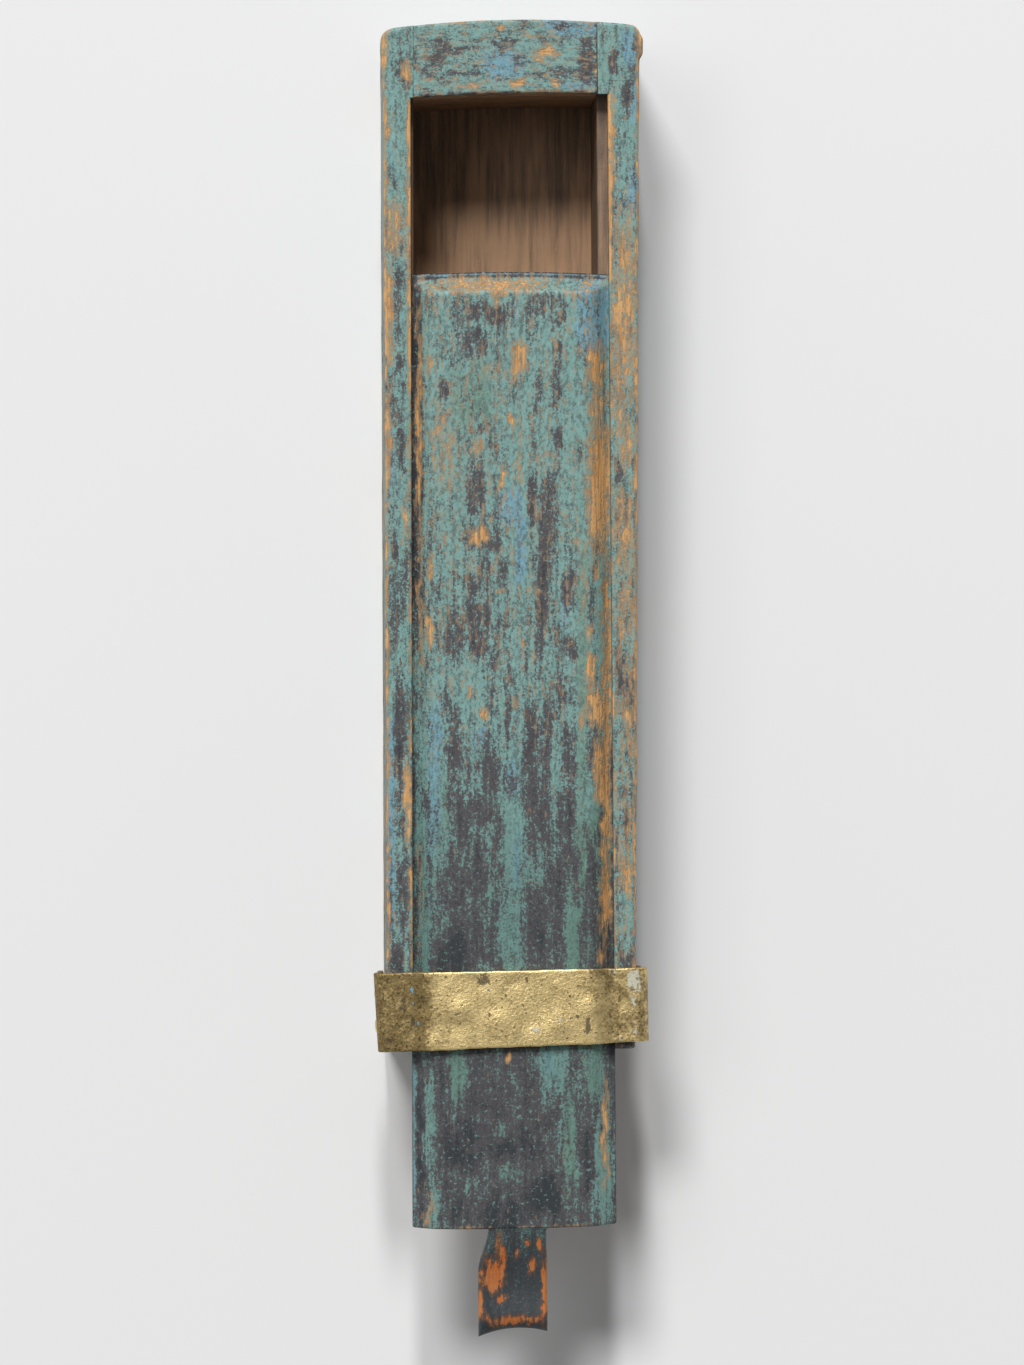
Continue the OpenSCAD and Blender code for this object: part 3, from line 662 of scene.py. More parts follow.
def foot_block(name, sizes):
    """A rounded rectangle in Y and Z carried along X between the two side boards."""
    x, ends, _, _ = between_sides(FOOT_FACE_Y, BLOCK_GAP, BLOCK_EDGE, 60)
    outside = FOOT_Y + ends + 0.05 * (1 + ragged(x, 2))
    inside = FOOT_FACE_Y - ends
    top = BLOCK_TOP - ends - 0.05 * (1 + ragged(x, 9))
    low = FLOOR_TOP + STANDING_GAP + ends
    corners = sections(x, (outside, low), (inside, low), (inside, top), (outside, top))
    radii = np.array([0.3, 0.1, 0.4, sizes.end_edge / MM])
    y, z, _ = rounded_rings(corners, radii, [8, 20, 10, 26])
    points = np.stack([np.broadcast_to(x[:, None], y.shape), y, z], 2)
    x, outside, top = rows(x, outside, top)
    bare = (0.7 + 0.3 * ragged(x, 4)) * bell(np.hypot(y - outside, top - z), 1.2)
    raw = y > FOOT_Y + 1.2
    return lofted(name, points, {"bare": bare, "dark": 0.4, "blue": 0.0, "raw": raw})


def floor_board(name, sizes):
    """A section carried along Y: a flat top, rounded outer edges, and an underside planed hollow
    by a hair so that the nail heads show in it. The head end follows the crown's arc."""
    end = sizes.end_edge / MM
    y = np.concatenate([
        FOOT_Y + end_steps(end), np.arange(FOOT_Y + end + 0.5, HEAD_Y - HEAD_CORNER - 0.3, 1.2),
        HEAD_Y - end_steps(HEAD_CORNER)[::-1],
    ])
    outer = outer_half(y) - end_inset(y - FOOT_Y, end) - end_inset(HEAD_Y - y, HEAD_CORNER)
    outer = outer - 0.06 * (1 + ragged(y * 0.5, 3))
    ends = end_inset(y - FOOT_Y, end) + end_inset(HEAD_Y - y, end)
    top, low = FLOOR_TOP - 0.3 * ends, 0.5 * ends
    rim, well, planed = outer - FLOOR_RIM, outer - FLOOR_WELL, low + FLOOR_HOLLOW
    corners = sections(
        y, (outer, low), (outer, top), (-outer, top), (-outer, low), (-rim, low), (-well, planed),
        (well, planed), (rim, low),
    )
    radii = np.array([0.7, 0.35, 0.35, 0.7, 0.05, 0.05, 0.05, 0.05])
    x, z, _ = rounded_rings(corners, radii, [8, 44, 8, 2, 2, 12, 2, 2])
    y, outer, low = rows(y, outer, low)
    set_back = smooth(85, HEAD_Y, y) * (crown(x) - HEAD_Y)
    points = np.stack([x, y + set_back, z], 2)

    along = y * 0.35 + 0.7 * x
    edge = np.hypot(outer - np.abs(x), z - low)
    bare = (0.6 + 0.3 * ragged(y, 5)) * bell(edge, 0.9)
    bare = np.maximum(bare, 0.16 + 0.22 * ragged(along, 85))
    raw = (z > FLOOR_TOP - 0.6) * (np.abs(x) < outer - 0.3) + (z < low + 0.3) * 1.0
    raw = np.clip(raw, 0, 1) * ((y > FOOT_Y + end) * (y < HEAD_Y - HEAD_CORNER))
    # Painted shade inside the box, deepening towards the head end where the head block shades the floor
    inside_stain_and_shade = 0.26 + 0.3 * smooth(58, 80, y)
    dark = raw * inside_stain_and_shade + (1 - raw) * (0.42 + 0.16 * ragged(along, 75))
    return lofted(name, points, {"bare": bare, "dark": dark, "blue": 0.0, "raw": raw})


# Lid


PULL_NECK, PULL_LIP = 11.4, 13.8
NECK_SHIFT, LIP_SHIFT = 0.5, -0.5
NECK_FILLET = 1.0
PULL_STEP, THUMB_HOLLOW, PULL_DISH = 0.3, 1.5, 0.9
END_HOLLOW, END_SKEW = 1.1, 0.07
TOE_WEAR, TOE_BOW = 0.45, 0.35
# Rounding of the head and foot ends, and parts of the pull's length before and in its rolled lip
LID_TIP, LID_TOE = 0.3, 0.5
ROLL_START, ROLL_RUN = 0.8, 0.2
# Shares of the thickness by which the lip rolls over from above and from below
ROLL_OVER, ROLL_UNDER = 0.46, 0.26


def lid_half(y):
    """Half of the lid's width over its tongues, with the lid part open as it rests."""
    return inner_half(y + LID_TRAVEL) + GROOVE_DEPTH - CLEARANCE


def lid_head(x):
    """Y of the lid's bowed head end as it rests."""
    return bow(x, HEAD_GROOVE - CLEARANCE) - LID_TRAVEL


def lid_rise(half, from_head, x, blend):
    """Height of the lid's top above its tongue: the least of the field's height, the plane of the
    side bevel and the plane of the head bevel, with the meetings rounded, and never below 0."""
    field = FIELD_TOP - TONGUE_TOP
    side = (half - np.abs(x) - SIDE_TONGUE) * field / SIDE_BEVEL
    head = (from_head - HEAD_TONGUE) * field / HEAD_BEVEL
    rise = soft_min(soft_min(side, head, 2 * blend), field, blend)
    return -soft_min(-rise, 0, 0.25)


def lid_panel(grid, steps, blend):
    """Rings of the lid, drawn square: a rounded rectangle carried along Y from the head end to the
    foot end, with its top raised by lid_rise. The rings bow like the head end and slant to the
    worn foot end."""
    crown_y = lid_head(0.0)
    panel = np.concatenate([
        crown_y - end_steps(LID_TIP),
        np.arange(crown_y - LID_TIP - 0.1, LID_FOOT + LID_TOE + 0.2, -grid),
        LID_FOOT + end_steps(LID_TOE)[::-1],
    ])
    ends = end_inset(crown_y - panel, LID_TIP) + end_inset(panel - LID_FOOT, LID_TOE)
    half = lid_half(panel) - TOE_WEAR * smooth(-60, -105, panel) - ends
    under, tongue = LID_UNDER + ends, TONGUE_TOP - ends
    corners = sections(panel, (half, under), (half, tongue), (-half, tongue), (-half, under))
    x, z, straight = rounded_rings(corners, 0.3, steps)
    panel, half = rows(panel, half)
    bowed = smooth(10, crown_y, panel) * (lid_head(x) - crown_y)
    toe_bow = LID_SKEW * x - TOE_BOW * (1 - (x / half) ** 2)
    y = panel + bowed + smooth(LID_FOOT + 25, LID_FOOT, panel) * toe_bow
    rise = lid_rise(lid_half(panel), lid_head(x) - y, x, blend)
    planed = 0.05 * (ragged(x * 0.5, 3) + ragged(y * 0.35, 5) - 2) * smooth(1.5, 3, rise)
    return np.stack([x, y, z + np.where(straight == 1, rise + planed, 0)], 2)


def lid_pull(steps, edge):
    """Rings of the pull, drawn square, from the neck at t = 0 to the lip at t = 1. Its top sinks by
    the square of a sine to the thumb hollow and rolls over at the lip, and its edges turn up by
    the square of the way across."""
    fillet = end_steps(NECK_FILLET) / PULL_LENGTH
    run = np.linspace(fillet[-1], 0.78, 44)[1:]
    t = np.concatenate([fillet, run, ROLL_START + ROLL_RUN * np.sin(np.linspace(0, np.pi / 2, 16))])
    widen = smooth(0, 0.42, t)
    flare = end_inset(t * PULL_LENGTH, NECK_FILLET)
    width = PULL_NECK + (PULL_LIP - PULL_NECK) * widen + 2 * flare
    middle = NECK_SHIFT + (LIP_SHIFT - NECK_SHIFT) * widen
    roll = 1 - np.sqrt(1 - np.clip((t - ROLL_START) / ROLL_RUN, 0, 1) ** 2)
    thick = FIELD_TOP - LID_UNDER
    thumb = (THUMB_HOLLOW - PULL_STEP) * np.sin(np.pi * t) ** 2
    top = FIELD_TOP - PULL_STEP - thumb - ROLL_OVER * thick * roll
    low = LID_UNDER + PULL_STEP + ROLL_UNDER * thick * roll
    right, left = middle + width / 2, middle - width / 2
    corners = sections(t, (right, low), (right, top), (left, top), (left, low))
    radius = np.minimum(edge, 0.42 * (top - low))
    x, z, _ = rounded_rings(corners, radius[:, None], steps)
    t, widen, width, middle, left = rows(t, widen, width, middle, left)
    across = np.clip((x - middle) / (width / 2), -1, 1)
    z = z + PULL_DISH * across**2 * widen
    cut_back = t**4 * (END_HOLLOW * (1 - across**2) + END_SKEW * (x - left))
    y = LID_FOOT - PULL_LENGTH * t + cut_back + LID_SKEW * x * (1 - smooth(0, 0.3, t))
    return np.stack([x, y, z], 2)


def lid_skin(name, sizes):
    """The rings of the lid and then those of the pull, so that the last of the lid steps in to the
    neck, turned together with the channel."""
    grid = sizes.grid / MM
    steps = [4, round(2 * lid_half(0) / grid), 4, 14]
    panel = lid_panel(grid, steps, sizes.bevel_edge / MM)
    square = np.concatenate([panel, lid_pull(steps, sizes.pull_edge / MM)])
    square_x, square_y, z = square[..., 0], square[..., 1], square[..., 2]
    x, y = turned(square_x, square_y, CHANNEL_SKEW)

    on_lid = (np.arange(len(square)) < len(panel))[:, None]
    up = smooth(TONGUE_TOP - 0.6, TONGUE_TOP, z)
    thin = 0.18 * smooth(-80, -10, y)
    bare = np.where(on_lid, np.maximum(thin, spots(x, y, LID_BARE)), spots(x, y, PULL_BARE)) * up
    from_toe = np.hypot(square_y - LID_FOOT - LID_SKEW * square_x, z - FIELD_TOP)
    bare = np.maximum(bare, (0.3 + 0.3 * ragged(x * 1.5, 6)) * bell(from_toe, 0.5) * on_lid)
    bias = 0.27 + 0.13 * smooth(20, -15, y) + 0.22 * smooth(-15, -70, y) + 0.05 * smooth(-105, -130, y)
    deeper = 0.12 * smooth(-40, -90, y) + 0.06 * smooth(-105, -135, y)
    kept = spots(x, y, LID_KEPT) * (1 - 0.22 * smooth(-92, -100, y))
    dark = np.maximum(bias, spots(x, y, LID_DARK) + deeper) - kept
    from_side = lid_half(square_y) - np.abs(square_x)
    from_head = lid_head(square_x) - square_y
    # Painted shade cast by the left lip on the lid's left bevel, fading towards the foot end
    left_bevel_shade = 0.6 * smooth(3.8, 1.2, from_side) * (square_x < 0) * smooth(-38, 6, y)
    # Dirt and painted shade along the lid's head edge, darkest at the tongue's tip
    head_edge_dirt_and_shade = 0.6 * smooth(1.3, 0.9, from_head) * smooth(0.55, 0.75, from_head)
    head_edge_dirt_and_shade = np.maximum(head_edge_dirt_and_shade, smooth(0.4, 0.1, from_head))
    pull_dark = 0.9 - 0.4 * smooth(-150, -141, y)
    dark = np.where(on_lid, dark + np.maximum(left_bevel_shade, head_edge_dirt_and_shade), pull_dark)
    blue = (spots(x, y, LID_BLUE) - spots(x, y, LID_GREEN)) * up
    blue = blue + smooth(1.0, 0.8, from_head) * on_lid
    # Handling grime towards the foot end, less on the toe, plus painted shade in the gaps along the
    # side tongues
    grime = 0.4 * smooth(-25, -80, y) - 0.1 * smooth(-92, -125, y) + smooth(0.75, 0.3, from_side)
    grime = np.clip(np.where(on_lid, grime, 0.75), 0, 1)
    raw = (z < LID_UNDER + 0.35) * on_lid
    side_mid = BEND + 2
    far_mid = side_mid + steps[0] + steps[1] + 2 * BEND
    values = {"bare": bare, "dark": dark, "blue": blue, "raw": raw, "grime": grime}
    return lofted(name, np.stack([x, y, z], 2), values, (side_mid, far_mid))


# Strap


SEAT_X, BEND_X, LEG_X = 20.55, 25.24, 25.34
STRAP_LIFT, STRAP_BULGE, STRAP_TUCK = 1.0, 1.0, 4.0
LEG_TOP = BODY_TOP - STRAP_BULGE - STRAP_TUCK
LEG_LOW = node_box("lid_strap")[0][2]
FIELD_HALF = 16.2
LEFT_TAPER = 0.6
SMALL_MARKS = 60


def strap_path(spacing):
    """Inner face of the strap in X and Z from the foot of the left leg over the lid to the foot of
    the right leg, as evenly spaced points with their outward normals: level over the lid's field,
    down a half cosine to the side board, round a quarter circle and down the leg."""
    s = np.linspace(0, 1, 40)
    ease = (1 - np.cos(np.pi * s)) / 2
    over = columns(s, FIELD_HALF * s, BODY_TOP + STRAP_LIFT)
    down = columns(s, FIELD_HALF + (SEAT_X - FIELD_HALF) * s, BODY_TOP + STRAP_LIFT * (1 - ease))
    rail = columns(s, SEAT_X + (BEND_X - SEAT_X) * s, BODY_TOP)
    turn = np.pi / 2 * (1 - s)
    bend = columns(s, BEND_X + STRAP_BULGE * np.cos(turn), BODY_TOP + STRAP_BULGE * (np.sin(turn) - 1))
    inwards = BEND_X + STRAP_BULGE + (LEG_X - BEND_X - STRAP_BULGE) * ease
    tuck = columns(s, inwards, BODY_TOP - STRAP_BULGE - STRAP_TUCK * s)
    leg = columns(s, LEG_X, LEG_TOP + (LEG_LOW - LEG_TOP) * s)
    half = np.concatenate([over, down[1:], rail[1:], bend[1:], tuck[1:], leg[1:]])
    whole = np.concatenate([half[:0:-1] * (-1, 1), half])
    run = np.concatenate([[0], np.cumsum(np.linalg.norm(np.diff(whole, axis=0), axis=1))])
    at = np.linspace(0, run[-1], round(run[-1] / spacing))
    path = np.stack([np.interp(at, run, whole[:, i]) for i in (0, 1)], 1)
    along = np.gradient(path, axis=0)
    along /= np.linalg.norm(along, axis=1, keepdims=True)
    return at - run[-1] / 2, path, np.stack([-along[:, 1], along[:, 0]], 1)


# Broad hammer marks that the strap shows: place along it and across it, reach and depth
DENTS = np.array([
    (-10.6, 0.0, 2.6, -0.22), (-11.6, -2.8, 2.2, 0.18), (-2.4, -2.6, 2.8, -0.18),
    (-4.6, 0.6, 2.4, 0.16), (16.4, -0.4, 2.4, -0.24), (18.6, -2.0, 2.8, 0.22),
    (5.0, 0.2, 3.2, 0.16), (9.4, -3.4, 2.6, -0.14), (-17.2, 1.0, 1.8, 0.3),
    (-17.0, -4.0, 1.8, 0.26), (-7.0, 5.4, 2.6, 0.24), (2.4, 5.0, 2.8, 0.16),
])


def hammered(s, u, sizes):
    """Depth of the hammer work at s along and u across the strap: the sum of Gaussian marks, some
    beaten in and some left proud, the broad ones placed and the small ones seeded."""
    draw = np.random.default_rng(sizes.hammer_seed)
    along, across = draw.uniform(-27, 27, SMALL_MARKS), draw.uniform(-7.5, 7.5, SMALL_MARKS)
    reach = draw.uniform(0.9, 2.2, SMALL_MARKS)
    depth = sizes.hammer_depth / MM * draw.uniform(-0.3, 0.4, SMALL_MARKS)
    small = np.stack([along, across, reach, depth], 1)
    at_s, at_u, reach, depth = np.concatenate([DENTS, small]).T
    far = ((s[..., None] - at_s) ** 2 + (u[..., None] - at_u) ** 2) / reach**2
    return (depth * np.exp(-far)).sum(-1)


def strap_skin(name, sizes):
    """A thin rounded rectangle, a little narrower to the right, carried along strap_path. Its
    outer face is beaten by hammered, its left bend draws in towards the foot end, and the whole is
    turned by the strap's skew about its middle."""
    s, path, normal = strap_path(sizes.grid / MM)
    left, right = sizes.strap_left_width / MM, sizes.strap_right_width / MM
    t = np.clip((path[:, 0] + BEND_X) / (2 * BEND_X), 0, 1)
    width = left + (right - left) * t
    middle = -0.18 + 0.36 * t
    head = middle + width / 2 + 0.1 * ragged(s, 3)
    foot = middle - width / 2 + 0.12 * ragged(s, 8)
    tip = end_inset(np.minimum(s - s[0], s[-1] - s), 0.5)
    inner, outer = 0.4 * tip, STRAP_THICK - 0.4 * tip
    corners = sections(
        s, (foot + tip, inner), (head - tip, inner), (head - tip, outer), (foot + tip, outer)
    )
    u, v, _ = rounded_rings(corners, np.array([0.15, 0.15, 0.32, 0.32]), [16, 2, 40, 2])
    s, head, foot = rows(s, head, foot)
    over = smooth(0.3, 0.9, v / STRAP_THICK)
    v = v - hammered(s, u, sizes) * over * smooth(55, 30, np.abs(s))
    x = path[:, 0, None] + v * normal[:, 0, None]
    z = path[:, 1, None] + v * normal[:, 1, None]
    drawn_in = np.clip(0.5 - u / left, 0, 1) * smooth(-22, -27, x) * smooth(LEG_TOP, BODY_TOP - 1, z)
    x, y = turned(x + LEFT_TAPER * drawn_in, u, STRAP_SKEW)
    y = y + STRAP_Y
    points = np.stack([x, y, z], 2)

    on_top = smooth(BODY_TOP - 0.5, BODY_TOP + 0.6, z)
    # rubbed holds rubbed brass and painted light: bright edges over the middle, partly rubbed and
    # partly a painted highlight, painted shade in the dip at the left bend and over the left end, and a
    # painted lift on the right end's slope
    edge = bell(head - u, 0.35) + 0.6 * bell(u - foot, 0.3)
    edge = edge * smooth(-19, -15, x) * smooth(14, 6, x)
    rubbed = smooth(-19.5, -13, x) * smooth(21, 13, x + 0.25 * (y - STRAP_Y)) * on_top
    dull_and_shaded_left = 0.13 * smooth(-17, -20, x) + 0.36 * bell(x + 17.9, 1.5)
    rubbed = 0.25 + 0.55 * rubbed + 0.5 * edge - dull_and_shaded_left + 0.2 * smooth(13, 20, x) * on_top
    stain = spots(x, y, STRAP_STAIN, 0) * on_top
    splash = spots(x, y, STRAP_SPLASH, 0) * on_top
    fleck = spots(x, y, STRAP_FLECK, 0) * on_top
    return lofted(name, points, {"rubbed": rubbed, "stain": stain, "splash": splash, "fleck": fleck})


# Finishes


# Factor that takes a noise's usual 0.2 to 0.8, centred on 0, to about -1 to 1
NOISE_SPREAD = 3.4


class Finish:
    """A material's node tree, with short calls for the nodes that the finishes share."""

    def __init__(self, name):
        self.material = bpy.data.materials.new(name)
        self.material.use_nodes = True
        self.tree = self.material.node_tree
        self.surface = self.tree.nodes["Principled BSDF"]
        self.place = self.add("ShaderNodeTexCoord").outputs["Object"]

    def add(self, kind, **settings):
        """New node of a kind with its settings."""
        node = self.tree.nodes.new(kind)
        for key, value in settings.items():
            setattr(node, key, value)
        return node

    def put(self, socket, value):
        """Joins a socket to an output, or sets its value."""
        if isinstance(value, bpy.types.NodeSocket):
            self.tree.links.new(value, socket)
        else:
            socket.default_value = value

    def stretch(self, x, y, z, shift=0.0):
        """Object coordinates scaled along each axis and moved, so that noises differ."""
        node = self.add("ShaderNodeMapping")
        self.put(node.inputs["Vector"], self.place)
        self.put(node.inputs["Location"], (shift, shift, shift))
        self.put(node.inputs["Scale"], (x, y, z))
        return node.outputs["Vector"]

    def noise(self, vector, per_mm, detail=4.0, roughness=0.6, distortion=0.0):
        """Noise with so many features to a millimetre, centred on 0 and spread to about -1 to 1."""
        node = self.add("ShaderNodeTexNoise")
        self.put(node.inputs["Vector"], vector)
        for key, value in {
            "Scale": per_mm / MM, "Detail": detail, "Roughness": roughness, "Distortion": distortion,
        }.items():
            self.put(node.inputs[key], value)
        return self.math("MULTIPLY_ADD", node.outputs["Fac"], NOISE_SPREAD, -NOISE_SPREAD / 2)

    def attribute(self, name):
        """Value that the mesh carries under a name."""
        return self.add("ShaderNodeAttribute", attribute_name=name).outputs["Fac"]

    def math(self, operation, *values, clamp=False):
        """Math node on up to three values."""
        node = self.add("ShaderNodeMath", operation=operation, use_clamp=clamp)
        for socket, value in zip(node.inputs, values):
            self.put(socket, value)
        return node.outputs["Value"]

    def times(self, first, second):
        """Product of two values."""
        return self.math("MULTIPLY", first, second)

    def total(self, first, *terms):
        """First value plus each (value, weight)."""
        for value, weight in terms:
            first = self.math("MULTIPLY_ADD", value, weight, first)
        return first

    def step(self, value, low, high):
        """Smoothstep of a value from 0 at low to 1 at high."""
        node = self.add("ShaderNodeMapRange", interpolation_type="SMOOTHSTEP")
        for key, setting in {"Value": value, "From Min": low, "From Max": high}.items():
            self.put(node.inputs[key], setting)
        return node.outputs["Result"]

    def mix(self, factor, first, second):
        """First colour turning to the second as the factor goes from 0 to 1."""
        node = self.add("ShaderNodeMix", data_type="RGBA")
        self.put(node.inputs["Factor"], factor)
        colours = [socket for socket in node.inputs if socket.type == "RGBA"]
        for socket, value in zip(colours, (first, second)):
            self.put(socket, value if isinstance(value, bpy.types.NodeSocket) else (*value, 1))
        return next(socket for socket in node.outputs if socket.type == "RGBA")

    def level(self, factor, first, second):
        """First number turning to the second as the factor goes from 0 to 1."""
        node = self.add("ShaderNodeMapRange")
        for key, setting in {"Value": factor, "To Min": first, "To Max": second}.items():
            self.put(node.inputs[key], setting)
        return node.outputs["Result"]

    def bump(self, height, depth, strength=1.0, below=None):
        """Normal of a relief whose height of 1 is depth millimetres."""
        node = self.add("ShaderNodeBump")
        self.put(node.inputs["Height"], height)
        self.put(node.inputs["Distance"], depth * MM)
        self.put(node.inputs["Strength"], strength)
        if below is not None:
            self.put(node.inputs["Normal"], below)
        return node.outputs["Normal"]

    def set(self, **inputs):
        """Sets or joins inputs of the surface, named with _ for a space."""
        for key, value in inputs.items():
            self.put(self.surface.inputs[key.replace("_", " ")], value)


def worn_paint(name, colours, grimy=False, crossways=False):
    """Teal paint over a dark undercoat over wood. Each coat ends where the mesh's own value plus
    streaks along the grain and fine specks passes a half, so that its edges are ragged. The grain
    runs along the box, or crossways on the blocks that close its ends."""
    f = Finish(name)

    def grained(squeeze, shift=0.0):
        """Coordinates in which features are drawn out along the grain by 1 over the squeeze, or by
        its square root across the blocks, which are less streaked."""
        return f.stretch(squeeze**0.5, 1, 1, shift) if crossways else f.stretch(1, squeeze, 1, shift)

    clump = f.noise(grained(0.16), 0.3, 5, 0.6)
    streak = f.noise(grained(0.08, 0.3), 0.9, 4, 0.62)
    gran = f.noise(grained(0.62), 1.6, 3, 0.62)
    speck = f.noise(f.place, 2.6, 2, 0.55)
    patch = f.noise(grained(0.45, 0.2), 0.55, 3, 0.6)
    dirt = f.noise(grained(0.5, 0.7), 1.5, 3, 0.65)
    wear = f.noise(grained(0.14, 0.6), 1.5, 4, 0.62)
    chips = f.noise(grained(0.5, 0.9), 1.1, 3, 0.6)
    tint = f.noise(grained(0.35), 0.2, 3, 0.6)
    dots = f.step(f.noise(f.place, 1.2, 3, 0.55), 0.3, 0.55)

    dark_sum = f.total(
        f.attribute("dark"), (clump, 0.22), (patch, 0.25), (streak, 0.27), (gran, 0.26), (speck, 0.19)
    )
    kept = f.math("MULTIPLY_ADD", dots, -0.75, 1.0)
    dark = f.times(f.step(dark_sum, 0.32, 0.62), kept)
    bare_sum = f.total(f.attribute("bare"), (wear, 0.32), (chips, 0.24), (gran, 0.14))
    bare = f.step(bare_sum, 0.44, 0.64)
    rim = f.step(bare_sum, 0.16, 0.46)

    hue = f.total(f.attribute("blue"), (tint, 0.3), (streak, 0.25), (dirt, 0.1))
    top_coat = f.mix(f.step(hue, -0.05, -0.6), colours.teal, colours.green)
    top_coat = f.mix(f.step(hue, 0.22, 0.62), top_coat, colours.blue)
    mottle = f.total(f.times(dirt, 0.8), (speck, 0.4), (streak, 0.3))
    pale = tuple(min(1, 1.35 * level) for level in colours.teal)
    top_coat = f.mix(f.times(f.step(mottle, -0.2, 0.4), 0.85), top_coat, colours.dull)
    top_coat = f.mix(f.times(f.step(mottle, -0.25, -0.7), 0.5), top_coat, pale)

    # The lid's grime value holds handling grime and painted shade along the tongues
    if grimy:
        handled_and_shaded = f.step(f.attribute("grime"), 0.0, 0.5)
        top_coat = f.mix(f.times(handled_and_shaded, 0.6), top_coat, colours.deep)

    grain = f.noise(grained(0.05), 1.9, 4, 0.65)
    light_wood, washed = colours.bare, colours.rim
    if grimy:
        light_wood = f.mix(f.step(f.attribute("grime"), 0.3, 0.7), colours.bare, colours.amber)
    wood = f.mix(f.step(grain, -0.5, 0.8), light_wood, colours.grain)
    wood = f.mix(f.times(f.step(gran, 0.1, 0.8), 0.28), wood, colours.undercoat)
    under = f.mix(f.step(dark_sum, 0.62, 1.15), colours.undercoat, colours.soot)
    colour = f.mix(dark, top_coat, under)
    if grimy:
        grime = f.step(f.total(f.attribute("grime"), (speck, 0.25), (streak, 0.2)), 0.3, 0.9)
        colour = f.mix(f.times(grime, 0.85), colour, colours.soot)
        washed = f.mix(f.step(f.attribute("grime"), 0.3, 0.7), colours.rim, colours.umber)
    colour = f.mix(f.times(rim, 0.7), colour, washed)
    colour = f.mix(bare, colour, wood)
    inner_grain = f.noise(grained(0.06), 0.8, 5, 0.65)
    # Stain noise plus the mesh's dark value, which inside the box is painted shade
    stained = f.total(inner_grain, (clump, 0.6), (f.attribute("dark"), 1.6))
    inner = f.mix(f.step(stained, 0.0, 1.7), colours.inside, colours.inside_stain_and_shade)
    colour = f.mix(f.attribute("raw"), colour, inner)

    rough = f.level(bare, f.level(dark, 0.5, 0.6), 0.68)
    relief = f.total(
        f.times(bare, -0.8), (dark, -0.4), (gran, 0.14), (grain, 0.12), (speck, 0.14)
    )
    f.set(Base_Color=colour, Roughness=rough, Normal=f.bump(relief, 0.09))
    f.surface.inputs["Specular IOR Level"].default_value = 0.35
    return f.material


def aged_brass(name, colours):
    """Rubbed brass that dulls in patches, with dark pits, paint spots and flecks of teal. The rubbed
    value also holds a painted highlight on the strap's edges and painted shade at its left bend.
    """
    f = Finish(name)
    cloud = f.noise(f.place, 0.35, 5, 0.65)
    fine = f.noise(f.place, 1.5, 4, 0.7)
    pits = f.noise(f.place, 1.1, 2, 0.5)
    sand = f.noise(f.stretch(1, 1, 1, 0.4), 1.9, 3, 0.65)
    rubbed = f.step(f.total(f.attribute("rubbed"), (cloud, 0.5), (fine, 0.52)), 0.0, 1.0)
    colour = f.mix(rubbed, colours.tarnish, colours.brass)
    speckled = f.times(f.step(f.total(sand, (fine, 0.5), (rubbed, -0.4)), -0.15, 0.6), 0.8)
    colour = f.mix(speckled, colour, colours.stain)
    stain = f.total(f.attribute("stain"), (fine, 0.3), (pits, 0.2), (cloud, 0.1))
    stained = f.step(stain, 0.4, 0.6)
    pitted = f.step(f.total(pits, (fine, 0.35)), 0.62, 0.76)
    dotted = f.step(f.total(sand, (cloud, 0.3)), 0.58, 0.76)
    marked = f.math("MAXIMUM", f.math("MAXIMUM", stained, pitted), dotted)
    colour = f.mix(f.times(marked, 0.85), colour, colours.stain)
    splash = f.step(f.total(f.attribute("splash"), (fine, 0.28), (pits, 0.2), (cloud, 0.1)), 0.44, 0.58)
    fleck = f.step(f.total(f.attribute("fleck"), (fine, 0.25), (pits, 0.2)), 0.48, 0.6)
    colour = f.mix(f.times(splash, 0.85), colour, colours.splash)
    colour = f.mix(fleck, colour, colours.blue)
    paint_on = f.math("MAXIMUM", splash, fleck)
    dull = f.math("MAXIMUM", paint_on, f.times(marked, 0.7))
    relief = f.total(f.times(marked, -1.0), (paint_on, 0.7), (fine, 0.25), (sand, 0.25))
    f.set(
        Base_Color=colour, Metallic=f.level(dull, 0.9, 0.0), Roughness=f.level(rubbed, 0.58, 0.44),
        Normal=f.bump(relief, 0.1),
    )
    return f.material


def rusty_iron(name, colours):
    """Dark iron with patches of rust."""
    f = Finish(name)
    rust = f.noise(f.place, 0.9, 5, 0.7)
    pits = f.noise(f.place, 3.0, 3, 0.6)
    eaten = f.step(rust, -0.3, 0.6)
    f.set(
        Base_Color=f.mix(eaten, colours.iron, colours.rust), Metallic=f.level(eaten, 0.8, 0.1),
        Roughness=f.level(eaten, 0.5, 0.85), Normal=f.bump(f.total(pits, (rust, 0.7)), 0.06),
    )
    return f.material


def tack_brass(name, colours):
    """Dull brass of the tacks, rubbed on their crowns."""
    f = Finish(name)
    cloud = f.noise(f.place, 0.7, 4, 0.65)
    fine = f.noise(f.place, 2.4, 3, 0.6)
    dulled = f.step(f.total(cloud, (fine, 0.5)), -0.8, 1.0)
    f.set(
        Base_Color=f.mix(dulled, colours.brass, colours.tarnish), Metallic=0.95,
        Roughness=f.level(dulled, 0.36, 0.55), Normal=f.bump(fine, 0.04),
    )
    return f.material


def pale_table(name, colours):
    """Even pale table top with a faint cloudiness."""
    f = Finish(name)
    cloud = f.noise(f.place, 0.004, 3, 0.5)
    dim = tuple(0.985 * level for level in colours.table)
    f.set(Base_Color=f.mix(f.step(cloud, -1, 1), colours.table, dim), Roughness=0.9)
    f.surface.inputs["Specular IOR Level"].default_value = 0.1
    return f.material


# Stage


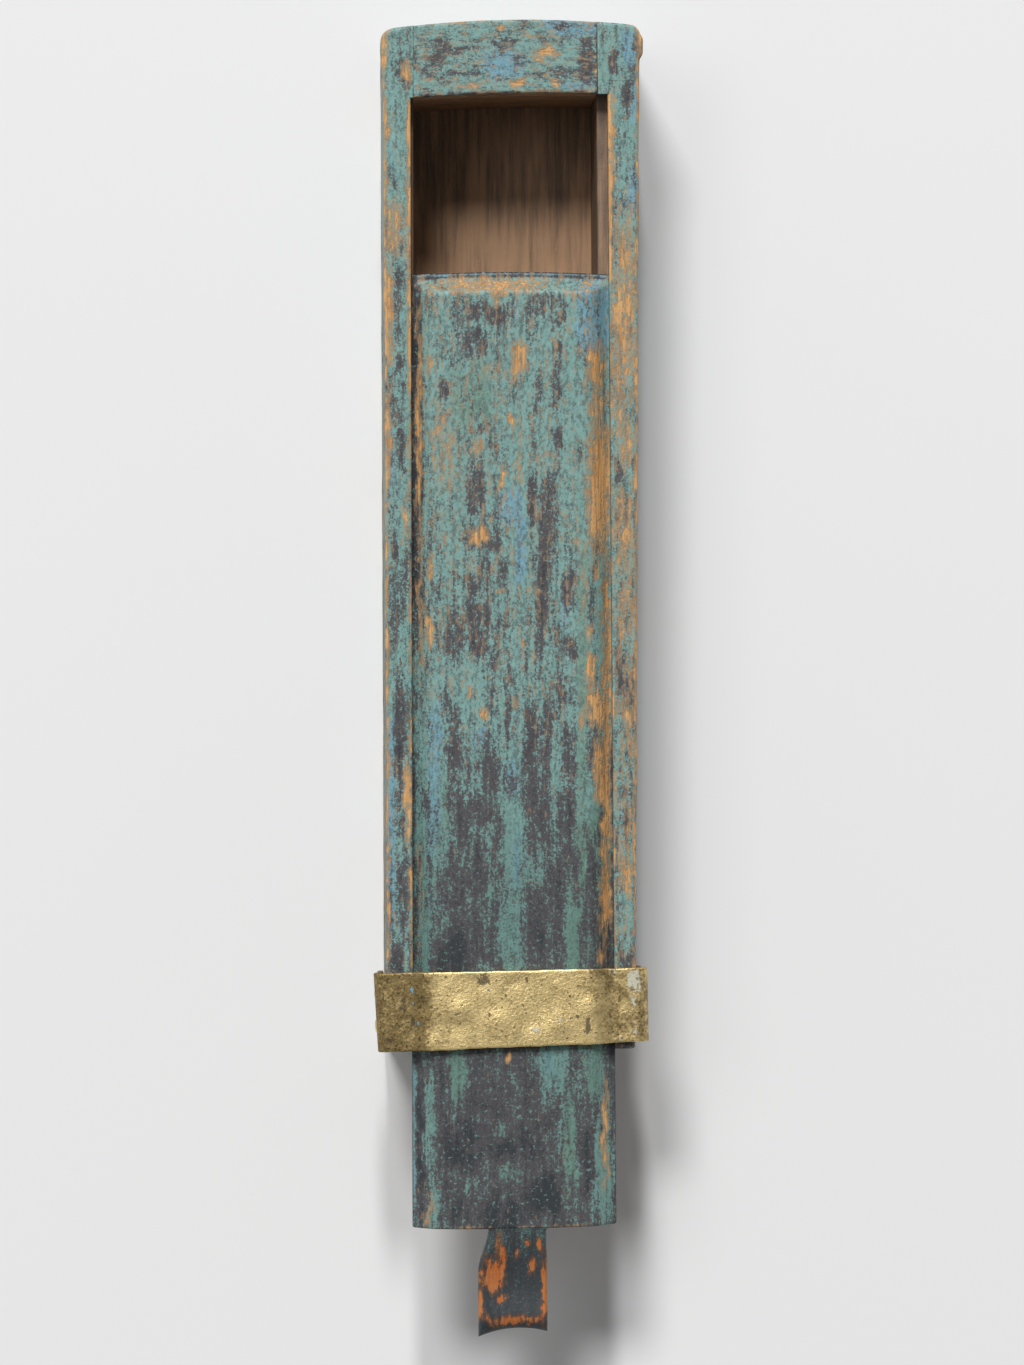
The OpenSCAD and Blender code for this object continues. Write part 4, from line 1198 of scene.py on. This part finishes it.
def window_lamp(scene, name, place, size, power, aim):
    """Oval area lamp that faces a point, like a window."""
    lamp = bpy.data.lights.new(name, "AREA")
    lamp.shape = "ELLIPSE"
    lamp.size, lamp.size_y = size
    lamp.energy = power
    holder = bpy.data.objects.new(name, lamp)
    scene.collection.objects.link(holder)
    holder.location = place
    holder.rotation_euler = (aim - Vector(place)).to_track_quat("-Z", "Y").to_euler()


def pale_room(name, ceiling, backdrop):
    """World whose level falls from the backdrop's at eye height to the ceiling's overhead."""
    world = bpy.data.worlds.new(name)
    world.use_nodes = True
    tree = world.node_tree
    place = tree.nodes.new("ShaderNodeTexCoord")
    split = tree.nodes.new("ShaderNodeSeparateXYZ")
    level = tree.nodes.new("ShaderNodeMapRange")
    level.interpolation_type = "SMOOTHSTEP"
    limits = {"From Min": 0.05, "From Max": 0.45, "To Min": backdrop, "To Max": ceiling}
    for key, value in limits.items():
        level.inputs[key].default_value = value
    light = tree.nodes["Background"]
    light.inputs["Color"].default_value = (1, 1, 1, 1)
    tree.links.new(place.outputs["Generated"], split.inputs["Vector"])
    tree.links.new(split.outputs["Z"], level.inputs["Value"])
    tree.links.new(level.outputs["Result"], light.inputs["Strength"])
    return world


# Operators


class PENBOX_OT_stage(bpy.types.Operator):
    """Set up the camera, the table, the lamps and the pale room"""

    bl_idname = "penbox.stage"
    bl_label = "Stage"

    def execute(self, context):
        scene = context.scene
        stage = scene.pen_box_stage
        scene.view_settings.view_transform = "Standard"

        camera = bpy.data.objects.new("camera", bpy.data.cameras.new("camera"))
        scene.collection.objects.link(camera)
        camera.data.lens = stage.camera_lens
        camera.data.sensor_width = 36
        camera.data.clip_end = 100
        place, aim = Vector(stage.camera_place), Vector(stage.camera_aim)
        back = (place - aim).normalized()
        across = Vector((0, 1, 0)).cross(back).normalized()
        turn = Matrix((across, back.cross(across), back)).transposed().to_4x4()
        camera.matrix_world = Matrix.Translation(place) @ turn
        scene.camera = camera

        side = stage.table_side / 2
        mesh = bpy.data.meshes.new("table")
        corners = [(-side, -side, 0), (side, -side, 0), (side, side, 0), (-side, side, 0)]
        mesh.from_pydata(corners, [], [(0, 1, 2, 3)])
        table = bpy.data.objects.new("table", mesh)
        mesh.materials.append(pale_table("table_top", scene.pen_box_colours))
        scene.collection.objects.link(table)

        for lamp in ("head_lamp", "left_lamp", "side_lamp"):
            size = getattr(stage, lamp + "_width"), stage.lamp_height
            window_lamp(scene, lamp, getattr(stage, lamp), size, getattr(stage, lamp + "_power"), aim)
        scene.world = pale_room("pale_room", stage.ceiling, stage.backdrop)
        return {"FINISHED"}


class PENBOX_OT_side_boards(bpy.types.Operator):
    """Build the two tapered side boards with their rebates and grooves"""

    bl_idname = "penbox.side_boards"
    bl_label = "Side Boards"

    def execute(self, context):
        sizes = context.scene.pen_box_sizes
        for side, node in ((LEFT, "left_side"), (RIGHT, "right_side")):
            board = side_board(side, node + "_worn", sizes)
            dress(board, box_paint(context), "box", node)
        return {"FINISHED"}


class PENBOX_OT_blocks(bpy.types.Operator):
    """Build the head block, the foot block and the floor board"""

    bl_idname = "penbox.blocks"
    bl_label = "Blocks and Floor"

    def execute(self, context):
        sizes = context.scene.pen_box_sizes
        blocks = {"head_block": head_block, "foot_block": foot_block, "floor_board": floor_board}
        for node, build in blocks.items():
            finish = box_paint(context, crossways=build is not floor_board)
            dress(build(node + "_worn", sizes), finish, "box", node)
        return {"FINISHED"}


class PENBOX_OT_lid(bpy.types.Operator):
    """Build the raised-panel lid with its carved pull"""

    bl_idname = "penbox.lid"
    bl_label = "Lid"

    def execute(self, context):
        scene = context.scene
        finish = worn_paint("lid_paint", scene.pen_box_colours, grimy=True)
        lid = lid_skin("sliding_lid_worn", scene.pen_box_sizes)
        dress(lid, finish, "lid", "sliding_lid")
        return {"FINISHED"}


class PENBOX_OT_strap(bpy.types.Operator):
    """Build the bent and hammered brass strap"""

    bl_idname = "penbox.strap"
    bl_label = "Strap"

    def execute(self, context):
        scene = context.scene
        finish = aged_brass("strap_brass", scene.pen_box_colours)
        strap = strap_skin("lid_strap_hammered", scene.pen_box_sizes)
        dress(strap, finish, "box", "lid_strap")
        return {"FINISHED"}


class PENBOX_OT_nails(bpy.types.Operator):
    """Give the tacks and nails their metals"""

    bl_idname = "penbox.nails"
    bl_label = "Nails"

    def execute(self, context):
        colours = context.scene.pen_box_colours
        frame["nodes"]["strap_tacks"].material_slots[0].material = tack_brass("tack_brass", colours)
        iron = rusty_iron("nail_iron", colours)
        for node in ("side_nails", "floor_nails"):
            frame["nodes"][node].material_slots[0].material = iron
        return {"FINISHED"}


def box_paint(context, crossways=False):
    """The box's paint, made once for each way of the grain."""
    name = "block_paint" if crossways else "box_paint"
    made = bpy.data.materials.get(name)
    return made or worn_paint(name, context.scene.pen_box_colours, crossways=crossways)


class PENBOX_PT_panel(bpy.types.Panel):
    """Sidebar panel with the operators, sizes and colours"""

    bl_idname = "PENBOX_PT_panel"
    bl_label = "Pen Box"
    bl_space_type = "VIEW_3D"
    bl_region_type = "UI"
    bl_category = "Pen Box"

    def draw(self, context):
        for operator in OPERATORS:
            self.layout.operator(operator.bl_idname)
        for name in GROUPS:
            group, column = getattr(context.scene, name), self.layout.column()
            for key in group.bl_rna.properties.keys():
                if key not in ("rna_type", "name"):
                    column.prop(group, key)


GROUPS = {"pen_box_sizes": PenBoxSizes, "pen_box_colours": PenBoxColours, "pen_box_stage": PenBoxStage}
OPERATORS = (
    PENBOX_OT_stage, PENBOX_OT_side_boards, PENBOX_OT_blocks, PENBOX_OT_lid, PENBOX_OT_strap,
    PENBOX_OT_nails,
)


def register():
    """Adds the property groups, the operators and the panel."""
    for group in GROUPS.values():
        bpy.utils.register_class(group)
    for key, group in GROUPS.items():
        setattr(bpy.types.Scene, key, PointerProperty(type=group))
    for cls in (*OPERATORS, PENBOX_PT_panel):
        bpy.utils.register_class(cls)


def unregister():
    """Takes away what register adds, in the opposite order."""
    for cls in (PENBOX_PT_panel, *reversed(OPERATORS)):
        bpy.utils.unregister_class(cls)
    for key in GROUPS:
        delattr(bpy.types.Scene, key)
    for group in reversed(GROUPS.values()):
        bpy.utils.unregister_class(group)


def main():
    """Registers the add-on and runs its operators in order."""
    register()
    bpy.ops.penbox.stage()
    bpy.ops.penbox.side_boards()
    bpy.ops.penbox.blocks()
    bpy.ops.penbox.lid()
    bpy.ops.penbox.strap()
    bpy.ops.penbox.nails()


if __name__ == "__main__":
    main()
